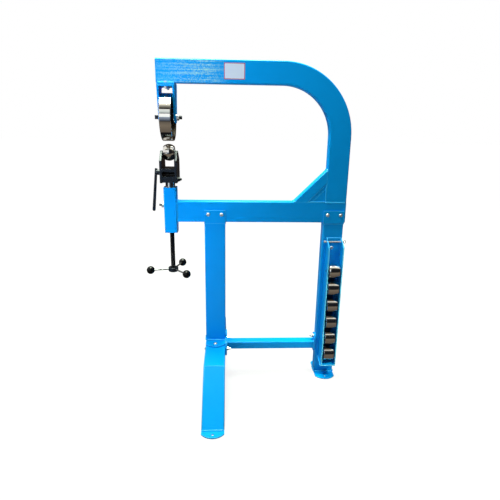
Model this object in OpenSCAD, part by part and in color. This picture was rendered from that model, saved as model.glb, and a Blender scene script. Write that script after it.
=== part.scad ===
// English wheel for shaping sheet metal.
// A tube frame shaped like a C holds a large flat wheel over a small crowned anvil wheel.
// A screw lifts the anvil on a round ram, and a quick lever drops it a few millimetres.
// X runs from the wheels to the post, Y from front to back and Z up. Sizes are in millimetres.

/* [Frame] */
// Height of the opening between the lower beam and the top arm
throat_h = 520; // [470:2:640]
// Distance from the wheels' axis to the post
throat = 736; // [680:4:900]
// Height of the lower beam's top above the floor
beam_top = 920; // [830:5:1000]
// Width of the frame tubes, seen from the front
tube_w = 100; // [90:2:120]
// Depth of the frame tubes
tube_d = 50; // [44:2:60]
// Wall of the frame tubes
tube_wall = 3; // [2:0.5:4]
// Outer corner radius of the frame tubes
tube_corner = 6; // [5:0.5:9]
// Inner radius of the large bend
bend_r = 220; // [150:5:280]
// Reach of the top arm past the wheels' axis
arm_overhang = 44; // [42:1:80]
// Thickness of the end caps
cap_t = 4; // [2:0.5:6]

/* [Brace] */
// Distance along the beam from the post to the brace's upper edge
brace_leg = 152; // [120:2:220]
// Width of the square brace tube
brace_w = 48; // [40:1:50]
// Thickness of the filler plate in the corner
filler_t = 5; // [3:0.5:8]
// Depth of the filler plate behind the brace's front face
filler_recess = 4; // [2:0.5:10]

/* [Upper wheel] */
// Diameter of the upper wheel
wheel_d = 206; // [180:2:220]
// Width of the upper wheel
wheel_w = 51; // [44:1:56]
// Thickness of the wheel's rim
rim_t = 17; // [12:1:24]
// Thickness of the wheel's web
wheel_web_t = 17; // [12:1:24]
// Diameter of the wheel's hub
wheel_hub_d = 62; // [56:1:80]
// Diameter of both axles
axle_d = 16; // [14:0.5:17]
// Outer diameter of the wheel's bearings
wheel_bearing_d = 40; // [34:1:44]
// Width of each bearing
bearing_w = 12; // [9:1:14]
// Length of the axle's plain head
axle_head_l = 18.5; // [10:0.5:24]
// Size of the axle's plain head
axle_head_s = 17.5; // [17.2:0.1:22]
// Size across the flats of the axle's nut
axle_nut_s = 24; // [22:1:30]
// Thickness of the axle's nut
axle_nut_t = 12; // [8:1:16]
// Length of thread past the axle's nut
axle_tail = 12.5; // [4:0.5:20]

/* [Fork] */
// Thickness of the fork's legs
fork_leg_t = 9; // [7:0.5:12]
// Thickness of the fork's web and of the pad above it
fork_web_t = 8; // [6:0.5:12]
// Side gap between the wheel and each leg
fork_gap = 4; // [3:0.5:6]
// Depth of the fork at its web
fork_depth = 100; // [96:2:120]
// Height from the wheel's axis to the web's top
fork_drop = 136; // [134:1:160]
// Radius of the leg's end round the axle
fork_tip_r = 25; // [20:1:32]
// Distance of the fork bolts from the arm's middle plane
fork_bolt_y = 38; // [36:0.5:42]
// Diameter of the fork bolts
fork_bolt_d = 8; // [6:1:8]

/* [Anvil] */
// Gap between the two wheels at rest
sheet_gap = 13; // [12.5:0.5:20]
// Diameter of the anvil wheel
anvil_d = 76; // [70:1:84]
// Width of the anvil wheel
anvil_w = 50; // [46:1:54]
// Radius of the anvil's crown across its tread
anvil_crown_r = 36; // [34:1:200]
// Outer diameter of the anvil's bearings
anvil_bearing_d = 35; // [30:1:38]

/* [Yoke] */
// Thickness of the yoke's cheeks
cheek_t = 11; // [8:0.5:14]
// Side gap between the anvil and each cheek
cheek_gap = 3; // [2:0.5:5]
// Depth of the yoke
yoke_depth = 120; // [100:2:130]
// Height of the cheeks' shoulders below the anvil's axis
shoulder_drop = 34; // [24:1:40]
// Height of the cheeks' tops above the anvil's axis
cheek_rise = 7; // [4:0.5:10]
// Half width of the cheeks at their tops
cheek_top_half = 14; // [12:0.5:18]
// Space between the anvil and the crossbar
bar_gap = 31; // [20:1:36]
// Thickness of the crossbar
bar_t = 13; // [10:0.5:16]
// Diameter of the cam shaft
cam_shaft_d = 16; // [12:0.5:16]
// Drop of the anvil when the quick lever is turned
lever_drop = 5; // [3:0.5:5]
// Height of the cam's contact at rest
cam_high = 13.7; // [13.5:0.1:16]
// Thickness of the yoke base
base_t = 27; // [24:1:32]
// Diameter of the guide pin
guide_pin_d = 10; // [8:0.5:11]
// Height of the guide pin above the base's underside
guide_pin_rise = 9; // [8:0.5:10]

/* [Quick lever] */
// Diameter of the lever's boss
lever_boss_d = 25; // [20:1:28]
// Distance of the lever's rod from the yoke's cheek, at the shaft
lever_reach = 25.5; // [22:0.5:32]
// Length of the lever's rod below the shaft
lever_l = 184; // [140:2:200]
// Length of the rod above the shaft
lever_top = 18; // [14:1:24]
// Outward tilt of the rod in degrees
lever_tilt = 5.4; // [2:0.1:8]
// Diameter of the rod's top
lever_top_d = 12; // [10:0.5:14]
// Diameter of the rod's lower end
lever_end_d = 15; // [12:0.5:18]

/* [Ram and screw] */
// Diameter of the ram
ram_d = 45; // [40:0.5:46]
// Side of the square sleeve
sleeve_s = 60; // [58:1:70]
// Wall of the sleeve
sleeve_wall = 4; // [3:0.5:5]
// Reach of the sleeve below the beam
sleeve_drop = 52; // [40:1:80]
// Height of each ram bush
bush_h = 30; // [20:1:36]
// Travel of the ram above its rest height
lift_up = 12; // [6:1:12]
// Travel of the ram below its rest height
lift_down = 16; // [8:1:20]
// Diameter of the screw
screw_d = 22; // [18:0.5:24]
// Thickness of the screw's nut block
screw_nut_t = 18; // [14:1:24]
// Diameter of the screw's plain end inside the ram
journal_d = 16; // [14:0.5:17]
// Length of the screw's plain end
journal_l = 30; // [26:1:40]
// Diameter of the two retainer pins
retainer_d = 5; // [4:0.5:6]
// Distance from the sleeve's foot to the handwheel's hub
screw_drop = 181; // [160:1:220]

/* [Handwheel] */
// Diameter of the hub
hub_d = 49; // [44:1:56]
// Height of the hub
hub_h = 23; // [20:1:30]
// Diameter of the spokes
spoke_d = 8; // [6:0.5:10]
// Distance of the ball knobs from the screw
spoke_reach = 110; // [90:1:140]
// Diameter of the ball knobs
ball_d = 39; // [30:1:45]
// Direction of the first spoke in degrees
spoke_turn = 191.7; // [186:0.1:230]

/* [Lock screw] */
// Place of the lock screw between the two ram bushes, as a share of their gap
lock_share = 0.4615; // [0.4:0.0005:0.6]
// Size across the flats of the lock boss
lock_boss_s = 22; // [18:1:26]
// Thickness of the lock boss
lock_boss_t = 14; // [10:1:18]
// Diameter of the lock screw
lock_d = 10; // [8:0.5:12]
// Length of the lock screw outside its boss
lock_tail = 11; // [8:1:20]

/* [Legs] */
// Distance from the wheels' axis to the middle of the front leg
front_leg_x = 208; // [160:2:300]
// Distance from the rear leg to the beam's end
rear_leg_inset = 6; // [0:1:30]
// Thickness of the saddles and of the base plates
plate_t = 6; // [4:0.5:8]
// Height of the saddles' sides above the beam's underside
saddle_side = 58; // [46:1:70]
// Distance between the two bolts of a saddle
saddle_pitch = 63; // [50:1:66]
// Height of the saddle bolts above the beam's underside
saddle_bolt_rise = 38; // [24:1:40]
// Length of the base plates
base_l = 188; // [176:1:220]
// Radius of the round ends of the base plates and tabs
end_r = 60; // [58:1:90]
// Distance between the front base plate's bolts
front_plate_pitch = 130; // [120:1:140]
// Distance between the rear base plate's floor holes
floor_pitch = 139; // [120:1:150]
// Diameter of the frame bolts
bolt_d = 10; // [8:0.5:10]
// Diameter of the bolts' domed heads
dome_d = 17.5; // [16:0.5:20]

/* [Foot] */
// Height of the foot's top above the floor
foot_top = 190.5; // [160:0.5:230]
// Height of the foot's tube
foot_tube_h = 50; // [40:1:60]
// Distance of the bends from the foot's middle
foot_bend_y = 267; // [220:1:320]
// Distance of the arms' ends from the foot's middle
foot_arm_y = 481; // [440:1:560]
// Distance of the tabs' tips from the foot's middle
foot_tip_y = 525; // [524:1:620]
// Distance of the floor holes from the tabs' tips
foot_hole_inset = 21; // [16:0.5:26]
// Diameter of the floor holes
floor_hole_d = 11; // [9:0.5:13]

/* [Stretcher] */
// Height of the stretcher's middle above the floor
stretcher_z = 162; // [150:1:190]
// Height of the stretcher's tube
stretcher_h = 40; // [30:1:50]
// Thickness of the stretcher's end plates
end_plate_t = 8; // [5:0.5:10]
// Height of the left end plate
left_plate_h = 84; // [70:1:100]
// Distance between the left end plate's bolts
left_plate_pitch = 120; // [110:1:140]
// Width of the right end plate
right_plate_w = 60; // [50:1:66]
// Length of the right end plate
right_plate_l = 102; // [90:1:120]
// Distance of the right end plate's holes from its ends
right_hole_inset = 18; // [14:1:22]

/* [Rack] */
// Width of the anvil rack
rack_w = 75; // [70:1:84]
// Depth of the rack's sides
rack_side = 70; // [64:1:80]
// Thickness of the rack's steel
rack_wall = 5; // [3:0.5:6]
// Distance of the rack's middle from the rear leg's middle
rack_shift = 7.5; // [0:0.5:12]
// Distance of the rack's top below the beam
rack_gap = 72; // [40:1:76]
// Height of the rack's lower end above the floor
rack_foot = 84; // [70:1:100]
// Drop of the sides' top edges from back to front
rack_top_slope = 33; // [20:1:50]
// Rise of the lower end from front to back
rack_foot_slope = 16; // [8:1:24]
// Reach of the floor plate past the rack's left side
rack_floor_lip = 6; // [0:1:12]
// Diameter of the spare anvils
spare_d = 70; // [64:1:72]
// Width of the spare anvils
spare_w = 52; // [44:1:56]
// Crown radius of the top spare anvil
spare_crown_r = 110; // [60:1:140]
// Ratio between the crown radii of neighbouring spares
spare_crown_ratio = 1.3; // [1.1:0.05:1.4]
// Radius of the anvils' outer edges
anvil_edge_r = 5; // [3:0.5:6]
// Distance of the top spare's axis below the rack's top
spare_top_drop = 159; // [150:1:162]
// Height of the lowest spare's axis above the floor
spare_low_z = 140; // [136:1:150]
// Diameter of the spares' axles
spare_axle_d = 12; // [10:0.5:14]
// Depth of the blind seats in the rack's left side
seat_depth = 3; // [1:0.5:3]
// Outer diameter of the spares' bearings
spare_bearing_d = 32; // [28:1:34]
// Height of the locking pin below the rack's top
pin_drop = 19; // [18:0.5:24]
// Distance of the locking pin from the rack's back face
pin_y = 17; // [12:0.5:20]
// Diameter of the locking pin
pin_d = 8; // [6:0.5:9]
// Reach of the pin's tail past the rack
pin_tail = 20; // [18:1:30]
// Play between the pin's head and the rack
pin_play = 5.5; // [3:0.5:8]
// Distance of the rack's upper bolt below its top
rack_bolt_drop = 52; // [48:1:60]

/* [Hidden] */
$fn = 64;

// Colours as the photograph shows them
frame_blue = "#0A8FE6";
charcoal = "#23262B";
polished = "#C9CBCD";
zinc = "#D8DADC";
bronze = "#B08D4A";
ball_black = "#101114";

// Clearances
run_fit = 0.05;
thread_fit = 0.08;
seat_fit = 0.02;
slide_gap = 0.3;
bolt_clear = 0.2;
face_gap = 0.15;

// Frame, from the floor up
arm_z = beam_top + throat_h;
bend_mid_r = bend_r + tube_w / 2;
bend_x = throat - bend_r;
bend_z = arm_z - bend_r;
beam_bottom = beam_top - tube_w;
beam_end = throat + tube_w;
half_d = tube_d / 2;
brace_inner_leg = brace_leg - brace_w * sqrt(2);

// Wheels, from the arm down
fork_top = arm_z - fork_web_t;
wheel_z = fork_top - fork_drop;
wheel_r = wheel_d / 2;
axle_r = axle_d / 2;
leg_in = wheel_w / 2 + fork_gap;
leg_out = leg_in + fork_leg_t;
anvil_r = anvil_d / 2;
anvil_z = wheel_z - wheel_r - sheet_gap - anvil_r;

// Yoke, from the anvil down
cheek_in = anvil_w / 2 + cheek_gap;
cheek_out = cheek_in + cheek_t;
bar_top = anvil_z - anvil_r - bar_gap;
bar_bottom = bar_top - bar_t;
cam_shaft_r = cam_shaft_d / 2;
cam_z = bar_bottom - cam_shaft_r - 1;
cam_half = cheek_in - 6;
lever_socket = 16;
base_top = cam_z - cam_high - slide_gap;
base_bottom = base_top - base_t;
guide_pin_z = base_bottom + guide_pin_rise;
guide_pin_r = guide_pin_d / 2;
guide_slot_r = guide_pin_r + 0.2;
guide_head_s = guide_pin_d * 1.6;
guide_head_t = guide_pin_d * 0.64;
guide_nut_t = guide_pin_d * 0.8;
guide_thread_out = 6.7;
cheek_bottom = base_bottom - 2;
pin_head_x = cheek_out + slide_gap;

// Ram, sleeve and screw
ram_r = ram_d / 2;
ram_top = base_bottom;
sleeve_top = cheek_bottom - lever_drop - lift_down - 3;
sleeve_foot = beam_bottom - sleeve_drop;
sleeve_half = sleeve_s / 2;
sleeve_inside = sleeve_s - 2 * sleeve_wall;
ram_foot = sleeve_foot + screw_nut_t + lift_down + 4;
lower_bush_z = ram_foot + lift_up + 2;
screw_r = screw_d / 2;
journal_r = journal_d / 2;
screw_top = ram_foot - slide_gap;
retainer_r = retainer_d / 2;
groove_r = journal_r - 2;
retainer_x = groove_r + retainer_r + 0.1;
retainer_rise = 13;
retainer_z = ram_foot + retainer_rise;
retainer_half = sqrt(ram_r * ram_r - pow(retainer_x + retainer_r, 2)) - 0.3;
lock_z = lower_bush_z + bush_h + lock_share * (sleeve_top - lower_bush_z - 2 * bush_h);
lock_r = lock_d / 2;

// Handwheel
hub_top = sleeve_foot - screw_drop;
hub_bottom = hub_top - hub_h;
hub_round = 8;
spoke_drop = 9.3;
spoke_z = hub_top - spoke_drop;
hub_floor = 6;
screw_bottom = hub_bottom + hub_floor;
ball_bore = 10;
spoke_r = spoke_d / 2;
spoke_in = screw_r + 3;
ball_r = ball_d / 2;

// Legs and foot
rear_leg_x = beam_end - rear_leg_inset - tube_w / 2;
leg_top = beam_bottom - plate_t;
bolt_r = bolt_d / 2;
hole_r = bolt_r + bolt_clear;
nut_s = bolt_d * 1.7;
nut_t = bolt_d * 0.8;
dome_h = dome_d * 0.36;
thread_out = 3;
long_thread_out = 11;
saddle_bolt_z = beam_bottom + saddle_bolt_rise;
foot_bottom = foot_top - foot_tube_h;
front_plate_top = foot_top + plate_t;
foot_slope = atan((foot_top - plate_t) / (foot_arm_y - foot_bend_y));
foot_mitre = foot_tube_h * tan(foot_slope / 2);
foot_slant_foot = foot_tube_h / sin(foot_slope);
foot_hole_y = foot_tip_y - foot_hole_inset;
tab_in_y = foot_arm_y - foot_slant_foot;
floor_hole_r = floor_hole_d / 2;

// Stretcher
leg_right = front_leg_x + tube_w / 2;
leg_left = rear_leg_x - tube_w / 2;
stretcher_x0 = leg_right + end_plate_t;
stretcher_x1 = leg_left - end_plate_t;
left_plate_z = stretcher_z + 8;
left_bolt_z = (foot_top + foot_bottom) / 2;
right_plate_z = stretcher_z + 9;
right_bolt_z = right_plate_z + right_plate_l / 2 - right_hole_inset;

// Rack
spare_count = 6;
rack_top = beam_bottom - rack_gap;
spare_top_z = rack_top - spare_top_drop;
spare_pitch = (spare_top_z - spare_low_z) / (spare_count - 1);
rack_x = rear_leg_x + rack_shift;
rack_left = rack_x - rack_w / 2;
rack_right = rack_x + rack_w / 2;
rack_back = -half_d;
rack_front = rack_back - rack_side;
rack_floor_angle = atan(rack_foot_slope / rack_side);
spare_r = spare_d / 2;
spare_y = rack_back - rack_wall - spare_r - 2;
spare_axle_r = spare_axle_d / 2;
rack_pin_y = rack_back - pin_y;
rack_pin_z = rack_top - pin_drop;
rack_pin_r = pin_d / 2;
clip_ring_r = 7;
clip_wire_r = 1.3;
rack_bolt_x = rear_leg_x - 2;
rack_bolt_z1 = rack_top - rack_bolt_drop;
rack_bolt_z2 = spare_top_z - (spare_count - 1.5) * spare_pitch;

// Height of a spare anvil's axis, counted from the top
function spare_z(i) = spare_top_z - (i - 1) * spare_pitch;

// Left end of a spare's axle: the top one goes through the side, the others end in blind seats
function seat_start(i) = i == 1 ? rack_left - 0.5 : rack_left + rack_wall - seat_depth;

// The part's middle along X, between the first ball knob and the farthest end on the right
left_end = spoke_reach * cos(spoke_turn) - ball_r;
right_end = max(rack_right + pin_tail, beam_end);
mid_x = (left_end + right_end) / 2;

// Moves a piece from the wheels' axis to the part's middle
module placed() {
    translate([-mid_x, 0, 0]) children();
}

// Rectangle with round corners
module round_rect(w, h, r) {
    square([w - 2 * r, h], center = true);
    square([w, h - 2 * r], center = true);
    for (sx = [-1, 1], sy = [-1, 1]) {
        translate([sx * (w / 2 - r), sy * (h / 2 - r)]) circle(r = r);
    }
}

// Section of a tube with round corners
module tube_section(w, h, wall, r) {
    difference() {
        round_rect(w, h, r);
        round_rect(w - 2 * wall, h - 2 * wall, r - wall + 0.5);
    }
}

// Stands a flat outline, drawn as depth and height, up along X
module along_x(x0, x1) {
    translate([x0, 0, 0]) rotate([90, 0, 90]) linear_extrude(x1 - x0) children();
}

// Stands a flat outline, drawn as length and height, up along Y
module along_y(y0, y1) {
    translate([0, y1, 0]) rotate([90, 0, 0]) linear_extrude(y1 - y0) children();
}

// Turns an outline, drawn as radius and length, round the X axis
module turned_x() {
    rotate([90, 0, 90]) rotate_extrude() children();
}

// Round bar along X
module bar_x(x0, x1, r) {
    translate([x0, 0, 0]) rotate([0, 90, 0]) cylinder(h = x1 - x0, r = r);
}

// Round bar along Y
module bar_y(y0, y1, r) {
    translate([0, y1, 0]) rotate([90, 0, 0]) cylinder(h = y1 - y0, r = r);
}

// Ring along X
module ring_x(x0, x1, r_out, r_in) {
    difference() {
        bar_x(x0, x1, r_out);
        bar_x(x0 - 1, x1 + 1, r_in);
    }
}

// Hexagon bar along Z, s across its flats
module hexagon(s, h) {
    cylinder(h = h, r = s / sqrt(3), $fn = 6);
}

// Hexagon nut along Z
module hex_nut(s, h, r) {
    difference() {
        hexagon(s, h);
        translate([0, 0, -1]) cylinder(h = h + 2, r = r);
    }
}

// Bolt along Z with a domed head above zero and its shank below
module dome_bolt(l) {
    cap_r = (dome_d * dome_d / 4 + dome_h * dome_h) / (2 * dome_h);
    intersection() {
        translate([0, 0, dome_h - cap_r]) sphere(r = cap_r);
        cylinder(h = dome_h, r = dome_d / 2);
    }
    translate([0, 0, -l]) cylinder(h = l, r = bolt_r);
}

// Plate outline with round ends, long side upright
module round_end_plate(w, l, r) {
    intersection() {
        square([w, l], center = true);
        union() {
            for (s = [-1, 1]) {
                translate([0, s * (l / 2 - r)]) circle(r = r);
            }
            square([w, l - 2 * r], center = true);
        }
    }
}

// Straight horizontal tube of the frame
module frame_tube_x(x0, x1, zc) {
    translate([0, 0, zc]) along_x(x0, x1) tube_section(tube_d, tube_w, tube_wall, tube_corner);
}

// Straight upright tube of the frame
module frame_tube_z(xc, z0, z1) {
    translate([xc, 0, z0]) linear_extrude(z1 - z0) {
        tube_section(tube_w, tube_d, tube_wall, tube_corner);
    }
}

module top_arm() {
    color(frame_blue) placed() {
        frame_tube_x(cap_t - arm_overhang, bend_x, arm_z + tube_w / 2);
    }
}

module arm_bend() {
    color(frame_blue) placed() translate([bend_x, 0, bend_z]) rotate([90, 0, 0]) {
        rotate_extrude(angle = 90) translate([bend_mid_r, 0]) {
            tube_section(tube_w, tube_d, tube_wall, tube_corner);
        }
    }
}

module post() {
    color(frame_blue) placed() frame_tube_z(throat + tube_w / 2, beam_top, bend_z);
}

module lower_beam() {
    color(frame_blue) placed() difference() {
        frame_tube_x(sleeve_half, beam_end - cap_t, beam_bottom + tube_w / 2);
        for (x = [front_leg_x, rear_leg_x], s = [-1, 1]) {
            translate([x + s * saddle_pitch / 2, 0, saddle_bolt_z]) bar_y(-half_d - 1, half_d + 1, hole_r);
        }
    }
}

module tube_caps() {
    color(frame_blue) placed() {
        translate([0, 0, arm_z + tube_w / 2]) along_x(-arm_overhang, cap_t - arm_overhang) {
            round_rect(tube_d, tube_w, tube_corner);
        }
        translate([0, 0, beam_bottom + tube_w / 2]) along_x(beam_end - cap_t, beam_end) {
            round_rect(tube_d, tube_w, tube_corner);
        }
    }
}

// Square tube at 45 degrees, cut to the beam's top and the post's face
module brace_tube() {
    color(frame_blue) placed() translate([throat, 0, beam_top]) intersection() {
        along_y(-half_d, half_d) {
            polygon([[-brace_leg, 0], [-brace_inner_leg, 0], [0, brace_inner_leg], [0, brace_leg]]);
        }
        translate([-brace_leg / 2, 0, brace_leg / 2]) rotate([0, -45, 0]) {
            translate([0, 0, -brace_w / 2]) along_x(-brace_leg, brace_leg) {
                tube_section(tube_d, brace_w, tube_wall, tube_corner);
            }
        }
    }
}

module brace_filler() {
    front = filler_recess - half_d;
    color(frame_blue) placed() translate([throat, 0, beam_top]) along_y(front, front + filler_t) {
        polygon([[-brace_inner_leg, 0], [0, 0], [0, brace_inner_leg]]);
    }
}

// Plate of the fork's plan with its two bolt holes
module fork_plate(z0) {
    translate([0, 0, z0]) linear_extrude(fork_web_t) difference() {
        square([2 * leg_out, fork_depth], center = true);
        for (s = [-1, 1]) {
            translate([0, s * fork_bolt_y]) circle(r = fork_bolt_d / 2 + bolt_clear);
        }
    }
}

module fork_pad() {
    color(frame_blue) placed() fork_plate(fork_top);
}

// Leg outline from the web down to the round end, with straight sides that touch the round
module fork_leg_outline() {
    half = fork_depth / 2;
    reach = sqrt(half * half + fork_drop * fork_drop);
    touch_angle = atan2(fork_drop, half) - acos(fork_tip_r / reach);
    touch_y = fork_tip_r * cos(touch_angle);
    touch_z = fork_tip_r * sin(touch_angle);
    difference() {
        union() {
            circle(r = fork_tip_r);
            polygon([[-half, fork_drop], [half, fork_drop], [touch_y, touch_z], [-touch_y, touch_z]]);
        }
        circle(r = axle_r + run_fit);
    }
}

module wheel_fork() {
    web_bottom = fork_top - fork_web_t;
    fillet = 5;
    color(frame_blue) placed() {
        fork_plate(web_bottom);
        for (s = [-1, 1]) {
            leg_mid = s * (leg_in + leg_out) / 2;
            translate([0, 0, wheel_z]) along_x(leg_mid - fork_leg_t / 2, leg_mid + fork_leg_t / 2) {
                fork_leg_outline();
            }
            translate([s * leg_in, 0, web_bottom]) along_y(-fork_depth / 2 + 1, fork_depth / 2 - 1) {
                difference() {
                    polygon([[0, 0], [-s * fillet, 0], [0, -fillet]]);
                    translate([-s * fillet, -fillet]) circle(r = fillet);
                }
            }
        }
    }
}

// Two bolts that hold the fork to its pad, with their nuts
module fork_bolts() {
    head_t = fork_bolt_d * 0.68;
    bolt_nut_t = fork_bolt_d * 0.8;
    web_bottom = fork_top - fork_web_t;
    pad_top = fork_top + fork_web_t;
    color(zinc) placed() for (s = [-1, 1]) translate([0, s * fork_bolt_y, 0]) {
        translate([0, 0, pad_top]) hexagon(fork_bolt_d * 1.62, head_t);
        translate([0, 0, web_bottom - bolt_nut_t - thread_out]) {
            cylinder(h = pad_top - web_bottom + bolt_nut_t + thread_out, r = fork_bolt_d / 2);
        }
        translate([0, 0, web_bottom - bolt_nut_t]) {
            hex_nut(fork_bolt_d * 1.62, bolt_nut_t, fork_bolt_d / 2 + run_fit);
        }
    }
}

module upper_wheel() {
    bearing_r = wheel_bearing_d / 2 + seat_fit;
    hub_r = wheel_hub_d / 2;
    rim_in = wheel_r - rim_t;
    color(polished) placed() translate([0, 0, wheel_z]) turned_x() {
        translate([wheel_r - rim_t / 2, 0]) round_rect(rim_t, wheel_w, 3);
        translate([hub_r - 1, -wheel_web_t / 2]) square([rim_in - hub_r + 2, wheel_web_t]);
        translate([bearing_r, -wheel_w / 2]) square([hub_r - bearing_r, wheel_w]);
    }
}

// Sealed ball bearing from x0 on, as outer race, shields and inner race in one body
module bearing_x(x0, d, bore_r) {
    race = (d / 2 - bore_r) * 0.3;
    shield_in = 0.6;
    translate([x0, 0, 0]) turned_x() {
        translate([bore_r, 0]) square([race, bearing_w]);
        translate([d / 2 - race, 0]) square([race, bearing_w]);
        translate([bore_r, shield_in]) square([d / 2 - bore_r, bearing_w - 2 * shield_in]);
    }
}

module wheel_bearings() {
    color(polished) placed() translate([0, 0, wheel_z]) for (x = [-wheel_w / 2, wheel_w / 2 - bearing_w]) {
        bearing_x(x, wheel_bearing_d, axle_r + run_fit);
    }
}

// Rings beside the bearings and the tube between them, from a wheel's half width out to its cheek
module spacer_set(half_w, side_in) {
    ring_r = axle_r + 4;
    inner = half_w - bearing_w - face_gap;
    for (x = [-side_in, half_w + face_gap]) {
        ring_x(x, x + side_in - half_w - face_gap, ring_r, axle_r + run_fit);
    }
    ring_x(-inner, inner, axle_r + 3, axle_r + run_fit);
}

module wheel_spacers() {
    color(zinc) placed() translate([0, 0, wheel_z]) spacer_set(wheel_w / 2, leg_in);
}

module wheel_axle() {
    color(charcoal) placed() translate([0, 0, wheel_z]) {
        bar_x(-leg_out - 1, leg_out + axle_nut_t + axle_tail, axle_r);
        along_x(-leg_out - axle_head_l, -leg_out) round_rect(axle_head_s, axle_head_s, 1.5);
    }
}

module axle_nut() {
    color(zinc) placed() translate([leg_out, 0, wheel_z]) rotate([0, 90, 0]) {
        hex_nut(axle_nut_s, axle_nut_t, axle_r + run_fit);
    }
}

// Crowned wheel round the X axis with a plain bore and round edges, the crown's radius given
module crowned_wheel(d, w, crown, bore_d) {
    turned_x() intersection() {
        round_rect(d, w, anvil_edge_r);
        translate([bore_d / 2 + seat_fit, -w]) square([d, 2 * w]);
        translate([d / 2 - crown, 0]) circle(r = crown, $fn = 64 + 4 * round(crown));
    }
}

module anvil() {
    color(polished) placed() translate([0, 0, anvil_z]) {
        crowned_wheel(anvil_d, anvil_w, anvil_crown_r, anvil_bearing_d);
    }
}

module anvil_bearings() {
    color(polished) placed() translate([0, 0, anvil_z]) for (x = [-anvil_w / 2, anvil_w / 2 - bearing_w]) {
        bearing_x(x, anvil_bearing_d, axle_r + run_fit);
    }
}

// Axle with its spacer rings and the tube between the bearings
module anvil_axle() {
    color(charcoal) placed() translate([0, 0, anvil_z]) {
        bar_x(-cheek_out + 0.5, cheek_out - 0.5, axle_r);
        spacer_set(anvil_w / 2, cheek_in);
    }
}

// Side of the yoke, with the axle's open slot, the cam shaft's bore and the guide pin's slot
module cheek_outline() {
    half = yoke_depth / 2;
    difference() {
        polygon([[-half, cheek_bottom], [half, cheek_bottom], [half, anvil_z - shoulder_drop],
            [cheek_top_half, anvil_z + cheek_rise], [-cheek_top_half, anvil_z + cheek_rise],
            [-half, anvil_z - shoulder_drop]]);
        translate([0, anvil_z]) circle(r = axle_r + run_fit);
        translate([-axle_r - run_fit, anvil_z]) square([2 * (axle_r + run_fit), cheek_rise + 1]);
        translate([0, cam_z]) circle(r = cam_shaft_r + run_fit);
        for (z = [guide_pin_z, guide_pin_z + lever_drop]) {
            translate([0, z]) circle(r = guide_slot_r);
        }
        translate([-guide_slot_r, guide_pin_z]) square([2 * guide_slot_r, lever_drop]);
    }
}

module anvil_yoke() {
    color(charcoal) placed() {
        along_x(-cheek_out, -cheek_in) cheek_outline();
        along_x(cheek_in, cheek_out) cheek_outline();
        translate([-cheek_in, -yoke_depth / 2, bar_bottom]) cube([2 * cheek_in, yoke_depth, bar_t]);
    }
}

// Contact point of the cam at a turn of a degrees, so that its height falls evenly
function cam_point(a) =
    let (h = cam_high - lever_drop * a / 90, fall = -lever_drop / (PI / 2))
    [h * sin(a) + fall * cos(a), fall * sin(a) - h * cos(a)];

module cam_shaft() {
    color(charcoal) placed() translate([0, 0, cam_z]) {
        bar_x(-pin_head_x - lever_socket, cheek_out - 0.5, cam_shaft_r);
        along_x(-cam_half, cam_half) polygon(concat([[0, 0]], [for (a = [0:7.5:90]) cam_point(a)]));
    }
}

module quick_lever() {
    end_r = lever_end_d / 2;
    rod_x = -cheek_out - lever_reach;
    color(charcoal) placed() translate([0, 0, cam_z]) difference() {
        union() {
            bar_x(rod_x, -pin_head_x, lever_boss_d / 2);
            translate([rod_x, 0, 0]) rotate([0, lever_tilt, 0]) {
                translate([0, 0, end_r - lever_l]) {
                    cylinder(h = lever_l - end_r + lever_top, r1 = end_r, r2 = lever_top_d / 2);
                    sphere(r = end_r);
                }
            }
        }
        bar_x(-pin_head_x - lever_socket - 0.1, 0, cam_shaft_r + seat_fit);
    }
}

// Block on top of the ram that the cam presses on
module yoke_base() {
    base_w = 2 * (cheek_in - slide_gap);
    base_l = yoke_depth - 4;
    color(charcoal) placed() difference() {
        translate([-base_w / 2, -base_l / 2, base_bottom]) cube([base_w, base_l, base_t]);
        translate([0, 0, guide_pin_z]) bar_x(-base_w, base_w, guide_pin_r + seat_fit);
    }
}

// Bolt through the yoke base, which guides the cheeks in their slots, with its nut
module guide_pin() {
    color(charcoal) placed() translate([0, 0, guide_pin_z]) {
        bar_x(-pin_head_x - 1, pin_head_x + guide_nut_t + guide_thread_out, guide_pin_r);
        translate([-pin_head_x - guide_head_t, 0, 0]) rotate([0, 90, 0]) {
            hexagon(guide_head_s, guide_head_t);
        }
        translate([pin_head_x, 0, 0]) rotate([0, 90, 0]) {
            hex_nut(guide_head_s, guide_nut_t, guide_pin_r + seat_fit);
        }
    }
}

module ram() {
    color(polished) placed() difference() {
        translate([0, 0, ram_foot]) cylinder(h = ram_top - ram_foot, r = ram_r);
        translate([0, 0, ram_foot - 1]) cylinder(h = journal_l + 1, r = journal_r + thread_fit);
        for (s = [-1, 1]) {
            translate([s * retainer_x, 0, retainer_z]) bar_y(-ram_r, ram_r, retainer_r + seat_fit);
        }
    }
}

// Two cross pins in the ram that run in the screw's groove
module screw_retainer() {
    color(zinc) placed() for (s = [-1, 1]) translate([s * retainer_x, 0, retainer_z]) {
        bar_y(-retainer_half, retainer_half, retainer_r);
    }
}

module screw() {
    groove_half = retainer_r + 0.5;
    color(charcoal) placed() {
        translate([0, 0, screw_bottom]) cylinder(h = screw_top - screw_bottom, r = screw_r);
        difference() {
            translate([0, 0, screw_top - 1]) cylinder(h = journal_l + 1, r = journal_r);
            translate([0, 0, retainer_z - groove_half]) difference() {
                cylinder(h = 2 * groove_half, r = journal_r + 1);
                translate([0, 0, -1]) cylinder(h = 2 * groove_half + 2, r = groove_r);
            }
        }
    }
}

// Turns and lifts a piece to each of the three spokes
module each_spoke() {
    for (i = [0:2]) {
        translate([0, 0, spoke_z]) rotate([0, 0, spoke_turn + 120 * i]) children();
    }
}

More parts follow.
